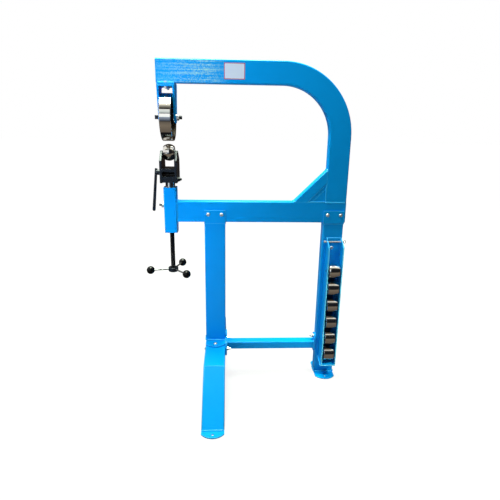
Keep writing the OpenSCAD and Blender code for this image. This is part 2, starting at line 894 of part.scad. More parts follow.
module handwheel_hub() {
    hub_r = hub_d / 2;
    bevel = 2;
    color(charcoal) placed() difference() {
        translate([0, 0, hub_bottom]) rotate_extrude() difference() {
            union() {
                square([hub_r - hub_round, hub_h - bevel]);
                translate([0, hub_round]) square([hub_r, hub_h - bevel - hub_round]);
                translate([hub_r - hub_round, hub_round]) circle(r = hub_round);
                polygon([[0, hub_h - bevel - 1], [hub_r, hub_h - bevel - 1], [hub_r, hub_h - bevel],
                    [hub_r - bevel, hub_h], [0, hub_h]]);
            }
            translate([screw_r + 4, hub_h - 1]) square([2, 2]);
        }
        translate([0, 0, screw_bottom]) cylinder(h = hub_h, r = screw_r + seat_fit);
        each_spoke() bar_x(spoke_in, hub_r + 1, spoke_r + seat_fit);
    }
}

module spokes() {
    color(zinc) placed() each_spoke() bar_x(spoke_in, spoke_reach - ball_r + ball_bore, spoke_r);
}

module ball_knobs() {
    color(ball_black) placed() each_spoke() difference() {
        translate([spoke_reach, 0, 0]) sphere(r = ball_r);
        bar_x(spoke_reach - ball_r - 1, spoke_reach - ball_r + ball_bore, spoke_r + seat_fit);
    }
}

module sleeve() {
    color(frame_blue) placed() difference() {
        translate([0, 0, sleeve_foot]) linear_extrude(sleeve_top - sleeve_foot) {
            tube_section(sleeve_s, sleeve_s, sleeve_wall, tube_corner);
        }
        translate([0, 0, lock_z]) bar_x(-sleeve_half - 1, sleeve_wall + 1 - sleeve_half, lock_r + 0.5);
    }
}

// Square block that fills the sleeve, with a bore for the ram or the screw
module sleeve_block(z0, h, bore_r) {
    translate([0, 0, z0]) linear_extrude(h) difference() {
        round_rect(sleeve_inside, sleeve_inside, tube_corner - sleeve_wall + 1);
        circle(r = bore_r);
    }
}

module ram_bushes() {
    color(bronze) placed() {
        sleeve_block(sleeve_top - bush_h, bush_h, ram_r + run_fit);
        sleeve_block(lower_bush_z, bush_h, ram_r + run_fit);
    }
}

module screw_nut() {
    color(bronze) placed() sleeve_block(sleeve_foot, screw_nut_t, screw_r + thread_fit);
}

module lock_boss() {
    color(zinc) placed() translate([-sleeve_half - lock_boss_t, 0, lock_z]) rotate([0, 90, 0]) {
        hex_nut(lock_boss_s, lock_boss_t, lock_r + run_fit);
    }
}

module lock_screw() {
    outer = -sleeve_half - lock_boss_t - lock_tail;
    color(charcoal) placed() translate([0, 0, lock_z]) difference() {
        bar_x(outer, -ram_r - slide_gap, lock_r);
        translate([outer - 1, 0, 0]) rotate([0, 90, 0]) hexagon(lock_d / 2, lock_d / 2 + 1);
    }
}

module front_leg() {
    color(frame_blue) placed() frame_tube_z(front_leg_x, front_plate_top, leg_top);
}

module rear_leg() {
    color(frame_blue) placed() difference() {
        frame_tube_z(rear_leg_x, plate_t, leg_top);
        for (z = [rack_bolt_z1, rack_bolt_z2]) {
            translate([rack_bolt_x, 0, z]) bar_y(-half_d - 1, half_d + 1, hole_r);
        }
        translate([0, 0, right_bolt_z]) bar_x(leg_left - 1, leg_left + tube_w + 1, hole_r);
    }
}

// Bent plate between a leg's top and the beam, bolted through the beam
module saddle(xc) {
    half = half_d + plate_t;
    difference() {
        along_x(xc - tube_w / 2, xc + tube_w / 2) difference() {
            union() {
                translate([-half, leg_top + plate_t]) square([2 * half, saddle_side]);
                translate([-half + plate_t, leg_top]) square([2 * half_d, plate_t + 1]);
                for (s = [-1, 1]) {
                    translate([s * half_d, leg_top + plate_t]) circle(r = plate_t);
                }
            }
            translate([-half_d, beam_bottom]) square([tube_d, saddle_side + 1]);
        }
        for (s = [-1, 1]) {
            translate([xc + s * saddle_pitch / 2, 0, saddle_bolt_z]) bar_y(-half - 1, half + 1, hole_r);
        }
    }
}

module front_saddle() {
    color(frame_blue) placed() saddle(front_leg_x);
}

module rear_saddle() {
    color(frame_blue) placed() saddle(rear_leg_x);
}

// Foot plate of a leg with two holes
module base_plate(xc, z0, pitch, r) {
    translate([xc, 0, z0]) linear_extrude(plate_t) difference() {
        round_end_plate(tube_w, base_l, end_r);
        for (s = [-1, 1]) {
            translate([0, s * pitch / 2]) circle(r = r);
        }
    }
}

module front_base_plate() {
    color(frame_blue) placed() base_plate(front_leg_x, foot_top, front_plate_pitch, hole_r);
}

module rear_base_plate() {
    color(frame_blue) placed() base_plate(rear_leg_x, 0, floor_pitch, floor_hole_r);
}

// Tube of the foot along Y
module foot_tube(y0, y1) {
    translate([front_leg_x, y1, 0]) rotate([90, 0, 0]) linear_extrude(y1 - y0) {
        tube_section(tube_w, foot_tube_h, tube_wall, tube_corner);
    }
}

module foot_centre() {
    low = foot_bend_y - foot_mitre;
    mid = (foot_top + foot_bottom) / 2;
    color(frame_blue) placed() difference() {
        intersection() {
            translate([0, 0, mid]) foot_tube(-foot_bend_y, foot_bend_y);
            along_x(leg_right - tube_w, leg_right) {
                polygon([[-foot_bend_y, foot_top], [foot_bend_y, foot_top], [low, foot_bottom],
                    [-low, foot_bottom]]);
            }
        }
        for (s = [-1, 1]) {
            translate([front_leg_x, s * front_plate_pitch / 2, foot_top - tube_wall - 1]) {
                cylinder(h = tube_wall + 2, r = hole_r);
            }
            translate([0, s * left_plate_pitch / 2, left_bolt_z]) {
                bar_x(leg_right - tube_w - 1, leg_right + 1, hole_r);
            }
        }
    }
}

// Sloping arm at the back, from the bend down to the tab
module foot_arm() {
    arm_l = foot_arm_y - foot_bend_y + foot_top;
    intersection() {
        translate([0, foot_bend_y, foot_top]) rotate([-foot_slope, 0, 0]) {
            translate([0, 0, -foot_tube_h / 2]) foot_tube(-foot_tube_h, arm_l);
        }
        along_x(leg_right - tube_w, leg_right) {
            polygon([[foot_bend_y, foot_top], [foot_arm_y, plate_t], [tab_in_y, plate_t],
                [foot_bend_y - foot_mitre, foot_bottom]]);
        }
    }
}

module foot_front_arm() {
    color(frame_blue) placed() mirror([0, 1, 0]) foot_arm();
}

module foot_rear_arm() {
    color(frame_blue) placed() foot_arm();
}

// Tab under the end of the rear arm, with a round tip and a floor hole
module foot_tab() {
    translate([front_leg_x, 0, 0]) linear_extrude(plate_t) difference() {
        union() {
            translate([-tube_w / 2, tab_in_y]) square([tube_w, foot_tip_y - end_r - tab_in_y]);
            intersection() {
                translate([-tube_w / 2, tab_in_y]) square([tube_w, foot_tip_y - tab_in_y]);
                translate([0, foot_tip_y - end_r]) circle(r = end_r);
            }
        }
        translate([0, foot_hole_y]) circle(r = floor_hole_r);
    }
}

module foot_front_tab() {
    color(frame_blue) placed() mirror([0, 1, 0]) foot_tab();
}

module foot_rear_tab() {
    color(frame_blue) placed() foot_tab();
}

module stretcher() {
    color(frame_blue) placed() translate([0, 0, stretcher_z]) along_x(stretcher_x0, stretcher_x1) {
        tube_section(tube_d, stretcher_h, tube_wall, tube_corner - 1);
    }
}

module stretcher_left_plate() {
    color(frame_blue) placed() difference() {
        translate([0, 0, left_plate_z]) along_x(leg_right, stretcher_x0) rotate(90) {
            round_end_plate(left_plate_h, base_l, left_plate_h / 2);
        }
        for (s = [-1, 1]) {
            translate([0, s * left_plate_pitch / 2, left_bolt_z]) {
                bar_x(leg_right - 1, stretcher_x0 + 1, hole_r);
            }
        }
    }
}

module stretcher_right_plate() {
    hole_half = right_plate_l / 2 - right_hole_inset;
    color(frame_blue) placed() translate([0, 0, right_plate_z]) {
        along_x(stretcher_x1, leg_left) difference() {
            round_end_plate(right_plate_w, right_plate_l, right_plate_w / 2);
            for (s = [-1, 1]) {
                translate([0, s * hole_half]) circle(r = hole_r);
            }
        }
    }
}

// Passes a bolt's grip length and spare thread on to what is drawn at its place
module bolt_place(grip, spare) {
    $grip = grip;
    $spare = spare;
    children();
}

// Puts a piece on each bolt's place in the frame, with the bolt's head outward
module each_frame_bolt() {
    saddle_half = half_d + plate_t;
    rack_web = half_d + rack_wall;
    for (x = [front_leg_x, rear_leg_x], s = [-1, 1]) {
        translate([x + s * saddle_pitch / 2, -saddle_half, saddle_bolt_z]) rotate([90, 0, 0]) {
            bolt_place(2 * saddle_half, thread_out) children();
        }
    }
    for (s = [-1, 1]) {
        translate([front_leg_x, s * front_plate_pitch / 2, front_plate_top]) {
            bolt_place(plate_t + tube_wall, thread_out) children();
        }
        translate([leg_right - tube_w, s * left_plate_pitch / 2, left_bolt_z]) rotate([0, -90, 0]) {
            bolt_place(tube_w + end_plate_t, long_thread_out) children();
        }
    }
    translate([leg_left + tube_w, 0, right_bolt_z]) rotate([0, 90, 0]) {
        bolt_place(tube_w + end_plate_t, long_thread_out) children();
    }
    for (z = [rack_bolt_z1, rack_bolt_z2]) {
        translate([rack_bolt_x, -rack_web, z]) rotate([90, 0, 0]) {
            bolt_place(tube_d + rack_wall, thread_out) children();
        }
    }
}

module frame_bolts() {
    color(zinc) placed() each_frame_bolt() dome_bolt($grip + nut_t + $spare);
}

module frame_nuts() {
    color(zinc) placed() each_frame_bolt() {
        translate([0, 0, -$grip - nut_t]) hex_nut(nut_s, nut_t, bolt_r + run_fit);
    }
}

// Channel with sloped side tops, open to the front
module rack_channel() {
    inner = rack_back - rack_wall;
    color(frame_blue) placed() difference() {
        along_x(rack_left, rack_right) {
            polygon([[rack_back, rack_foot + rack_foot_slope], [rack_back, rack_top],
                [rack_front, rack_top - rack_top_slope], [rack_front, rack_foot]]);
        }
        translate([rack_left + rack_wall, inner - rack_side, 0]) {
            cube([rack_w - 2 * rack_wall, rack_side, rack_top + 1]);
        }
        for (i = [1:spare_count]) translate([0, spare_y, spare_z(i)]) {
            bar_x(seat_start(i) - 0.1, rack_right + 1, spare_axle_r + run_fit);
        }
        translate([0, rack_pin_y, rack_pin_z]) bar_x(rack_left - 1, rack_right + 1, rack_pin_r + run_fit);
        for (z = [rack_bolt_z1, rack_bolt_z2]) {
            translate([rack_bolt_x, 0, z]) bar_y(inner - 1, rack_back + 1, hole_r);
        }
    }
}

// Plate that closes the channel's sloped lower end
module rack_floor() {
    drop = rack_wall / cos(rack_floor_angle);
    color(frame_blue) placed() along_x(rack_left - rack_floor_lip, rack_right) {
        polygon([[rack_back, rack_foot + rack_foot_slope], [rack_front, rack_foot],
            [rack_front, rack_foot - drop], [rack_back, rack_foot + rack_foot_slope - drop]]);
    }
}

// Wire ring through the pin's tail
module clip_ring(wire_r) {
    translate([rack_right + pin_tail - clip_ring_r - clip_wire_r, 0, 0]) rotate([90, 0, 0]) {
        rotate_extrude() translate([clip_ring_r, 0]) circle(r = wire_r);
    }
}

// Locking pin across the top of the rack, with its head and its ring clip
module rack_pin() {
    head_l = 8;
    head_end = rack_left - pin_play;
    color(zinc) placed() translate([0, rack_pin_y, rack_pin_z]) {
        difference() {
            union() {
                bar_x(head_end - head_l, head_end, rack_pin_r * 1.5);
                bar_x(head_end - 1, rack_right + pin_tail - 2 * clip_ring_r + 2, rack_pin_r);
            }
            clip_ring(clip_wire_r + 0.1);
        }
        clip_ring(clip_wire_r);
    }
}

// Spare anvil with its two bearings, the first at the top
module rack_anvil(i) {
    color(polished) placed() translate([rack_x, spare_y, spare_z(i)]) {
        crowned_wheel(spare_d, spare_w, spare_crown_r * pow(spare_crown_ratio, i - 1), spare_bearing_d);
        for (x = [-spare_w / 2, spare_w / 2 - bearing_w]) {
            bearing_x(x, spare_bearing_d, spare_axle_r + run_fit);
        }
    }
}

module rack_axles() {
    color(charcoal) placed() for (i = [1:spare_count]) translate([0, spare_y, spare_z(i)]) {
        bar_x(seat_start(i), rack_right + 1, spare_axle_r);
    }
}

top_arm();
arm_bend();
post();
lower_beam();
tube_caps();
brace_tube();
brace_filler();
fork_pad();
wheel_fork();
fork_bolts();
upper_wheel();
wheel_bearings();
wheel_spacers();
wheel_axle();
axle_nut();
anvil_yoke();
anvil();
anvil_bearings();
anvil_axle();
cam_shaft();
quick_lever();
yoke_base();
guide_pin();
ram();
screw();
screw_retainer();
handwheel_hub();
spokes();
ball_knobs();
sleeve();
ram_bushes();
screw_nut();
lock_boss();
lock_screw();
front_leg();
rear_leg();
front_saddle();
rear_saddle();
front_base_plate();
rear_base_plate();
foot_centre();
foot_front_arm();
foot_rear_arm();
foot_front_tab();
foot_rear_tab();
stretcher();
stretcher_left_plate();
stretcher_right_plate();
frame_bolts();
frame_nuts();
rack_channel();
rack_floor();
rack_pin();
rack_anvil(1);  // rack_anvil_1
rack_anvil(2);  // rack_anvil_2
rack_anvil(3);  // rack_anvil_3
rack_anvil(4);  // rack_anvil_4
rack_anvil(5);  // rack_anvil_5
rack_anvil(6);  // rack_anvil_6
rack_axles();
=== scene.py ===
import math

import bmesh
import bpy
from mathutils import Matrix, Vector, noise


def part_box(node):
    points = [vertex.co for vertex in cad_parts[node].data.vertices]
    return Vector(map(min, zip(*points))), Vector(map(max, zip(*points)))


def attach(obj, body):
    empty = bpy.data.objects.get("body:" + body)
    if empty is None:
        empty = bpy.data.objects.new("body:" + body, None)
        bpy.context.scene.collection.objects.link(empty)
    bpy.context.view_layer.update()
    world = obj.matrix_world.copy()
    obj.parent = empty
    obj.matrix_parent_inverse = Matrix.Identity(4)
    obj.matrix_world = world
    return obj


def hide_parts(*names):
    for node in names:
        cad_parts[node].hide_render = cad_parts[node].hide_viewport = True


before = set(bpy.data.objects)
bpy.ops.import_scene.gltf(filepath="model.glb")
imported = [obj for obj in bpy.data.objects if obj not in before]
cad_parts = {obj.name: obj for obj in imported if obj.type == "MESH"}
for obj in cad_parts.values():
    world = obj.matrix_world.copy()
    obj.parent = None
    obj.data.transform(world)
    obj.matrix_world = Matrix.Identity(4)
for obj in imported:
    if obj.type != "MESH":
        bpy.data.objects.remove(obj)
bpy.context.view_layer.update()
scene = bpy.context.scene
mm = 0.001
boxes = {name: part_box(name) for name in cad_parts}
wheelX = (boxes["ram"][0].x + boxes["ram"][1].x) / 2   # the ram's axis, at the middle of both wheels
print("frame loaded:", len(boxes), "nodes")


def spot(x, y, z):
    # a place in millimetres from the ram's axis and the floor
    return Vector((wheelX + x * mm, y * mm, z * mm))


def reach(name, axis):
    # where a node begins and ends along an axis, in the same millimetres, to a tenth
    origin = wheelX if axis == "x" else 0.0
    return [round((getattr(corner, axis) - origin) / mm, 1) for corner in boxes[name]]


half = reach("lower_beam", "y")[1]   # half the tubes' depth

# Camera, set to the photograph's own view
viewFrom = {"place": (-0.07947, -2.03549, 1.27218), "yaw": 2.81, "pitch": 16.34, "roll": 0.91,
            "lens": 30.906, "sensor": 36.0}
cameraData = bpy.data.cameras.new("camera")
cameraData.lens = viewFrom["lens"]
cameraData.sensor_width = viewFrom["sensor"]
camera = bpy.data.objects.new("camera", cameraData)
scene.collection.objects.link(camera)
turn = (Matrix.Rotation(-math.radians(viewFrom["yaw"]), 4, "Z")
        @ Matrix.Rotation(math.radians(90 - viewFrom["pitch"]), 4, "X")
        @ Matrix.Rotation(math.radians(viewFrom["roll"]), 4, "Z"))
camera.matrix_world = Matrix.Translation(viewFrom["place"]) @ turn
scene.camera = camera
scene.view_settings.view_transform = "Standard"


def linear(hexText):
    # sRGB hex to the linear colour that the shaders take
    parts = [int(hexText[i:i + 2], 16) / 255 for i in (1, 3, 5)]
    return tuple(c / 12.92 if c <= 0.04045 else ((c + 0.055) / 1.055) ** 2.4 for c in parts) + (1.0,)


def addNode(tree, kind, settings=None, links=None):
    # settings are sockets by name or number, or else the node's own properties
    node = tree.nodes.new(kind)
    for key, value in (settings or {}).items():
        if isinstance(key, str) and hasattr(node, key):
            setattr(node, key, value)
        else:
            node.inputs[key].default_value = value
    for key, source in (links or {}).items():
        tree.links.new(source, node.inputs[key])
    return node


def newMaterial(name):
    made = bpy.data.materials.new(name)
    made.use_nodes = True
    tree = made.node_tree
    tree.nodes.clear()
    return made, tree


# Gloss powder coat, baked: an even film with the fine waves of orange peel and a slightly uneven tone,
# with a painted highlight, paler, over every sharp edge that faces up
powderLook = {"colour": "#009AF3", "shade": "#0092EA", "toneSize": 90, "peelSize": 5.0, "peelHeight": 0.03,
              "peelShare": 0.6, "roughness": 0.3, "ior": 1.45, "gloss": 0.17, "round": 1.2,
              "highlightWidth": 3.5, "highlightColour": "#4FCBFF", "highlightStrength": 0.9,
              "highlightUp": (-0.3, 0.35), "highlightLean": (0.995, 0.86)}
# tubes whose joints are ground flush before coating, so that none shows under the film, and with no painted
# highlight on their edges
flushLook = {**powderLook, "highlightStrength": 0.0, "round": 0.0}
# painted reflection: pale streaks on the arm's film, which run along it, grow from its free end and fade
# before the label
armLook = {**flushLook,
           "paintedSheen": {"long": 420.0, "high": 9.0, "speck": 4.5, "speckShare": 0.55, "shown": (0.7, 0.95),
                       "rise": (-60, 150), "fall": (285, 165), "front": (-23.0, -24.75),
                       "weak": 0.2, "strong": 0.95, "colour": "#ACDFDF"}}
# a rack with a painted highlight on its front rims, and painted shade in it behind the spare wheels
rackLook = {**powderLook, "highlightWidth": 5.0, "highlightColour": "#62D0FF", "rim": (-93.0, -94.5),
            "grime": {"x": (767, 807), "y": -27, "z": (96, 604), "soft": 9, "patch": 26,
                      "amount": (0.12, 0.34), "colour": "#05070B"}}
# over a weld's ripples the film is thicker and shinier, and its colour is painted paler as a painted
# highlight
weldLook = {**powderLook, "colour": "#27B0FA", "shade": "#1AA6F2", "gloss": 0.35, "roughness": 0.24}


def layEdgeHighlight(tree, surface, look):
    # painted highlight: paler where the wide rounding of a sharp edge leans away from the flat, and faces up
    flat = addNode(tree, "ShaderNodeNewGeometry").outputs["True Normal"]
    wide = addNode(tree, "ShaderNodeBevel", {"samples": 6, "Radius": look["highlightWidth"] * mm}).outputs[0]
    upward = addNode(tree, "ShaderNodeSeparateXYZ", None, {0: wide}).outputs["Z"]
    low, high = look["highlightUp"]
    strength = addNode(tree, "ShaderNodeMapRange", {1: low, 2: high, 4: look["highlightStrength"]}, {0: upward})
    lean = addNode(tree, "ShaderNodeVectorMath", {"operation": "DOT_PRODUCT"}, {0: flat, 1: wide})
    least, most = look["highlightLean"]
    edge = addNode(tree, "ShaderNodeMapRange", {1: least, 2: most},
                   {0: lean.outputs["Value"], 4: strength.outputs[0]})
    return addNode(tree, "ShaderNodeMix", {"data_type": "RGBA", 7: linear(look["highlightColour"])},
                   {0: edge.outputs[0], 6: surface}).outputs[2]


def layPaintedSheen(tree, place, sides, surface, marks):
    # painted reflection: broken pale lines along the arm on its front face
    grain = (1 / marks["long"], 1.0, 1 / marks["high"])
    stretched = addNode(tree, "ShaderNodeMapping", {"Scale": grain}, {"Vector": place})
    lines = addNode(tree, "ShaderNodeTexNoise", {"Scale": 1 / mm, "Detail": 4.0, "Roughness": 0.65},
                    {"Vector": stretched.outputs[0]})
    speckle = addNode(tree, "ShaderNodeTexNoise", {"Scale": 1 / (marks["speck"] * mm), "Detail": 2.0},
                      {"Vector": place})
    both = addNode(tree, "ShaderNodeMath", {"operation": "MULTIPLY_ADD", 1: marks["speckShare"]},
                   {0: speckle.outputs["Fac"], 2: lines.outputs["Fac"]})
    rise, fall = ([spot(x, 0, 0).x for x in marks[way]] for way in ("rise", "fall"))
    growing = addNode(tree, "ShaderNodeMapRange",
                      {1: rise[0], 2: rise[1], 3: marks["weak"], 4: marks["strong"]}, {0: sides["X"]})
    behind, face = (y * mm for y in marks["front"])
    front = addNode(tree, "ShaderNodeMapRange", {1: behind, 2: face},
                    {0: sides["Y"], 4: growing.outputs[0]})
    fade = addNode(tree, "ShaderNodeMapRange", {"interpolation_type": "SMOOTHSTEP", 1: fall[0], 2: fall[1]},
                   {0: sides["X"], 4: front.outputs[0]})
    faint, full = marks["shown"]
    pale = addNode(tree, "ShaderNodeMapRange", {1: faint, 2: full},
                   {0: both.outputs[0], 4: fade.outputs[0]})
    return addNode(tree, "ShaderNodeMix", {"data_type": "RGBA", 7: linear(marks["colour"])},
                   {0: pale.outputs[0], 6: surface}).outputs[2]


def layRimHighlight(tree, sides, surface, look):
    # painted highlight, paler, over the whole front edge
    behind, face = (y * mm for y in look["rim"])
    highlightShare = addNode(tree, "ShaderNodeMapRange", {1: behind, 2: face}, {0: sides["Y"]})
    return addNode(tree, "ShaderNodeMix", {"data_type": "RGBA", 7: linear(look["highlightColour"])},
                   {0: highlightShare.outputs[0], 6: surface}).outputs[2]


def layPaintedShade(tree, place, sides, surface, shadeArea):
    # painted shade: dark patches inside a box with soft sides, behind the spare wheels
    patches = addNode(tree, "ShaderNodeTexNoise", {"Scale": 1 / (shadeArea["patch"] * mm), "Detail": 3.0},
                      {"Vector": place})
    thin, thick = shadeArea["amount"]
    share = addNode(tree, "ShaderNodeMapRange", {1: thin, 2: thick}, {0: patches.outputs["Fac"]})
    low = spot(shadeArea["x"][0], 0, shadeArea["z"][0])
    high = spot(shadeArea["x"][1], shadeArea["y"], shadeArea["z"][1])
    for side, limit, way in (("X", low.x, 1), ("X", high.x, -1), ("Z", low.z, 1), ("Z", high.z, -1),
                             ("Y", high.y, -1)):
        edge = way * shadeArea["soft"] * mm
        share = addNode(tree, "ShaderNodeMapRange",
                        {"interpolation_type": "SMOOTHSTEP", 1: limit - edge, 2: limit + edge},
                        {0: sides[side], 4: share.outputs[0]})
    return addNode(tree, "ShaderNodeMix", {"data_type": "RGBA", 7: linear(shadeArea["colour"])},
                   {0: share.outputs[0], 6: surface}).outputs[2]


def powderCoat(name, look):
    made, tree = newMaterial(name)
    place = addNode(tree, "ShaderNodeTexCoord").outputs["Object"]
    sides = addNode(tree, "ShaderNodeSeparateXYZ", None, {0: place}).outputs
    tone = addNode(tree, "ShaderNodeTexNoise", {"Scale": 1 / (look["toneSize"] * mm), "Detail": 3.0},
                   {"Vector": place})
    surface = addNode(tree, "ShaderNodeMix",
                      {"data_type": "RGBA", 6: linear(look["colour"]), 7: linear(look["shade"])},
                      {0: tone.outputs["Fac"]}).outputs[2]
    # painted highlight over the sharp edges that face up
    surface = layEdgeHighlight(tree, surface, look)
    # painted reflection along the arm, where the look has it
    if "paintedSheen" in look:
        surface = layPaintedSheen(tree, place, sides, surface, look["paintedSheen"])
    # painted highlight on the rack's front rim
    if "rim" in look:
        surface = layRimHighlight(tree, sides, surface, look)
    # painted shade inside the rack, behind the spare wheels
    if "grime" in look:
        surface = layPaintedShade(tree, place, sides, surface, look["grime"])
    rounded = addNode(tree, "ShaderNodeBevel", {"samples": 4, "Radius": look["round"] * mm})
    peel = addNode(tree, "ShaderNodeTexNoise", {"Scale": 1 / (look["peelSize"] * mm), "Detail": 1.0},
                   {"Vector": place})
    bump = addNode(tree, "ShaderNodeBump",
                   {"Strength": look["peelShare"], "Distance": look["peelHeight"] * mm},
                   {"Height": peel.outputs["Fac"], "Normal": rounded.outputs[0]})
    finish = {"Roughness": look["roughness"], "IOR": look["ior"], "Specular IOR Level": look["gloss"]}
    shader = addNode(tree, "ShaderNodeBsdfPrincipled", finish,
                     {"Base Color": surface, "Normal": bump.outputs[0]})
    addNode(tree, "ShaderNodeOutputMaterial", None, {"Surface": shader.outputs[0]})
    return made


bluePaint = powderCoat("powder_coat_gloss_blue", powderLook)
armPaint = powderCoat("powder_coat_gloss_blue_painted_sheen", armLook)
flushPaint = powderCoat("powder_coat_gloss_blue_ground_flush", flushLook)
rackPaint = powderCoat("powder_coat_gloss_blue_greasy", rackLook)
weldPaint = powderCoat("powder_coat_gloss_blue_on_weld", weldLook)

# Metals and hard plastics: one builder, with the marks of how each surface was made
hardLook = {"metallic": 1.0, "ior": 1.5, "gloss": 0.5, "round": 0.6, "cloudSize": 22,
            "stretch": (1, 1, 1), "markRange": (0.3, 0.7), "markShare": 0.5}
# ground and polished tool steel: mirror-bright, with fine rings round each wheel's axle
polishedLook = {**hardLook, "colour": "#D9D7D1", "second": "#E2E0DB", "roughness": 0.05, "spread": 0.015,
                "markSize": 1.2, "markHeight": 0.002, "stretch": (1, 0.02, 0.02)}
# the large wheel: the tread ground and polished as above, its sides and web still dark from the forge
forgedLook = {**polishedLook, "forged": {"inset": 2.5, "soft": 1.0, "colour": "#2A241F", "rougher": 0.35}}
# hard chrome on a ground bar: mirror-like, faint marks round it
chromeLook = {**hardLook, "colour": "#D0D3D6", "second": "#DDE0E2", "roughness": 0.07, "spread": 0.02,
              "markSize": 1.5, "markHeight": 0.003, "stretch": (0.05, 0.05, 1)}
# black oxide on machined steel: dark, slightly blue, a soft sheen and faint cutter marks
blackLook = {**hardLook, "colour": "#141920", "second": "#1E252E", "metallic": 0.35, "roughness": 0.3,
             "spread": 0.07, "markSize": 2.5, "markHeight": 0.012, "stretch": (1, 0.2, 1)}
# the same oxide under oil and grease on the screw: close to black, a thin wet line of light on each thread
oiledLook = {**blackLook, "colour": "#05070A", "second": "#090C10", "metallic": 0.2, "roughness": 0.26,
             "spread": 0.06, "markHeight": 0.01, "gloss": 0.3}
# bright zinc plate on bolts and pins: soft silver with slight clouding
zincLook = {**hardLook, "colour": "#E4E2DD", "second": "#D2D0CA", "metallic": 0.7, "roughness": 0.27,
            "spread": 0.05, "markSize": 3.0, "markHeight": 0.006}
# cold-drawn steel rod of the spokes: greyer than the plated parts
drawnLook = {**hardLook, "colour": "#9A9C9E", "second": "#8A8C8F", "roughness": 0.32, "spread": 0.05,
             "markSize": 2.0, "markHeight": 0.006}
# turned bronze of the bushes and the screw's nut: oily and warm
bronzeLook = {**hardLook, "colour": "#A9824A", "second": "#8F6B3C", "roughness": 0.34, "spread": 0.05,
              "markSize": 2.0, "markHeight": 0.01}
# moulded and polished phenolic of the ball knobs: black with a sharp highlight
phenolicLook = {**hardLook, "colour": "#030304", "second": "#060708", "metallic": 0.0, "roughness": 0.08,
                "spread": 0.02, "markSize": 9.0, "markHeight": 0.006, "ior": 1.6, "gloss": 0.2, "round": 0.2}
# vinyl film of the label: smooth and satin, with a faint wave where it is stuck down
vinylLook = {**hardLook, "colour": "#D0DAF3", "second": "#CBD5F2", "metallic": 0.0, "roughness": 0.35,
             "spread": 0.05, "markSize": 14.0, "markHeight": 0.03, "round": 0.1}
# the same film where the border is printed: a dull rose red, flatter than the sheet
inkLook = {**vinylLook, "colour": "#C9506C", "second": "#B84660", "markSize": 6.0, "markHeight": 0.01}


def insideTread(tree, place, look):
    # 1 inside the ground tread of the upper wheel, 0 on it
    foot, top = reach("upper_wheel", "z")
    radius = (top - foot) / 2 - look["inset"]
    level = addNode(tree, "ShaderNodeVectorMath", {"operation": "MULTIPLY", 1: (0, 1, 1)}, {0: place})
    centre = (0, 0, (foot + top) / 2 * mm)
    away = addNode(tree, "ShaderNodeVectorMath", {"operation": "DISTANCE", 1: centre}, {0: level.outputs[0]})
    return addNode(tree, "ShaderNodeMapRange", {1: radius * mm, 2: (radius - look["soft"]) * mm},
                   {0: away.outputs["Value"]}).outputs[0]


def hardSurface(name, look):
    made, tree = newMaterial(name)
    place = addNode(tree, "ShaderNodeTexCoord").outputs["Object"]
    grain = tuple(along / (look["markSize"] * mm) for along in look["stretch"])
    stretched = addNode(tree, "ShaderNodeMapping", {"Scale": grain}, {"Vector": place})
    marks = addNode(tree, "ShaderNodeTexNoise", {"Scale": 1.0, "Detail": 3.0},
                    {"Vector": stretched.outputs[0]}).outputs["Fac"]
    clouds = addNode(tree, "ShaderNodeTexNoise", {"Scale": 1 / (look["cloudSize"] * mm), "Detail": 3.0},
                     {"Vector": place})
    tint = addNode(tree, "ShaderNodeMix",
                   {"data_type": "RGBA", 6: linear(look["colour"]), 7: linear(look["second"])},
                   {0: clouds.outputs["Fac"]}).outputs[2]
    least, most = look["markRange"]
    smooth, coarse = look["roughness"] - look["spread"], look["roughness"] + look["spread"]
    rough = addNode(tree, "ShaderNodeMapRange", {1: least, 2: most, 3: smooth, 4: coarse},
                    {0: marks}).outputs[0]
    if "forged" in look:
        forged = look["forged"]
        web = insideTread(tree, place, forged)
        tint = addNode(tree, "ShaderNodeMix", {"data_type": "RGBA", 7: linear(forged["colour"])},
                       {0: web, 6: tint}).outputs[2]
        rough = addNode(tree, "ShaderNodeMath", {"operation": "MULTIPLY_ADD", 1: forged["rougher"]},
                        {0: web, 2: rough}).outputs[0]
    rounded = addNode(tree, "ShaderNodeBevel", {"samples": 4, "Radius": look["round"] * mm})
    bump = addNode(tree, "ShaderNodeBump",
                   {"Strength": look["markShare"], "Distance": look["markHeight"] * mm},
                   {"Height": marks, "Normal": rounded.outputs[0]})
    finish = {"Metallic": look["metallic"], "IOR": look["ior"], "Specular IOR Level": look["gloss"]}
    shader = addNode(tree, "ShaderNodeBsdfPrincipled", finish,
                     {"Base Color": tint, "Roughness": rough, "Normal": bump.outputs[0]})
    addNode(tree, "ShaderNodeOutputMaterial", None, {"Surface": shader.outputs[0]})
    return made


polishedSteel = hardSurface("tool_steel_polished", polishedLook)
forgedSteel = hardSurface("tool_steel_forged_tread_polished", forgedLook)
groundChrome = hardSurface("hard_chrome_ground", chromeLook)
blackSteel = hardSurface("steel_black_oxide", blackLook)
oiledSteel = hardSurface("steel_black_oxide_oiled", oiledLook)
zincPlate = hardSurface("steel_zinc_plated", zincLook)
drawnSteel = hardSurface("steel_cold_drawn", drawnLook)
turnedBronze = hardSurface("bronze_turned", bronzeLook)
blackPhenolic = hardSurface("phenolic_moulded_black", phenolicLook)
vinylSheet = hardSurface("vinyl_film_satin", vinylLook)
vinylInk = hardSurface("vinyl_film_printed", inkLook)
print("materials made")

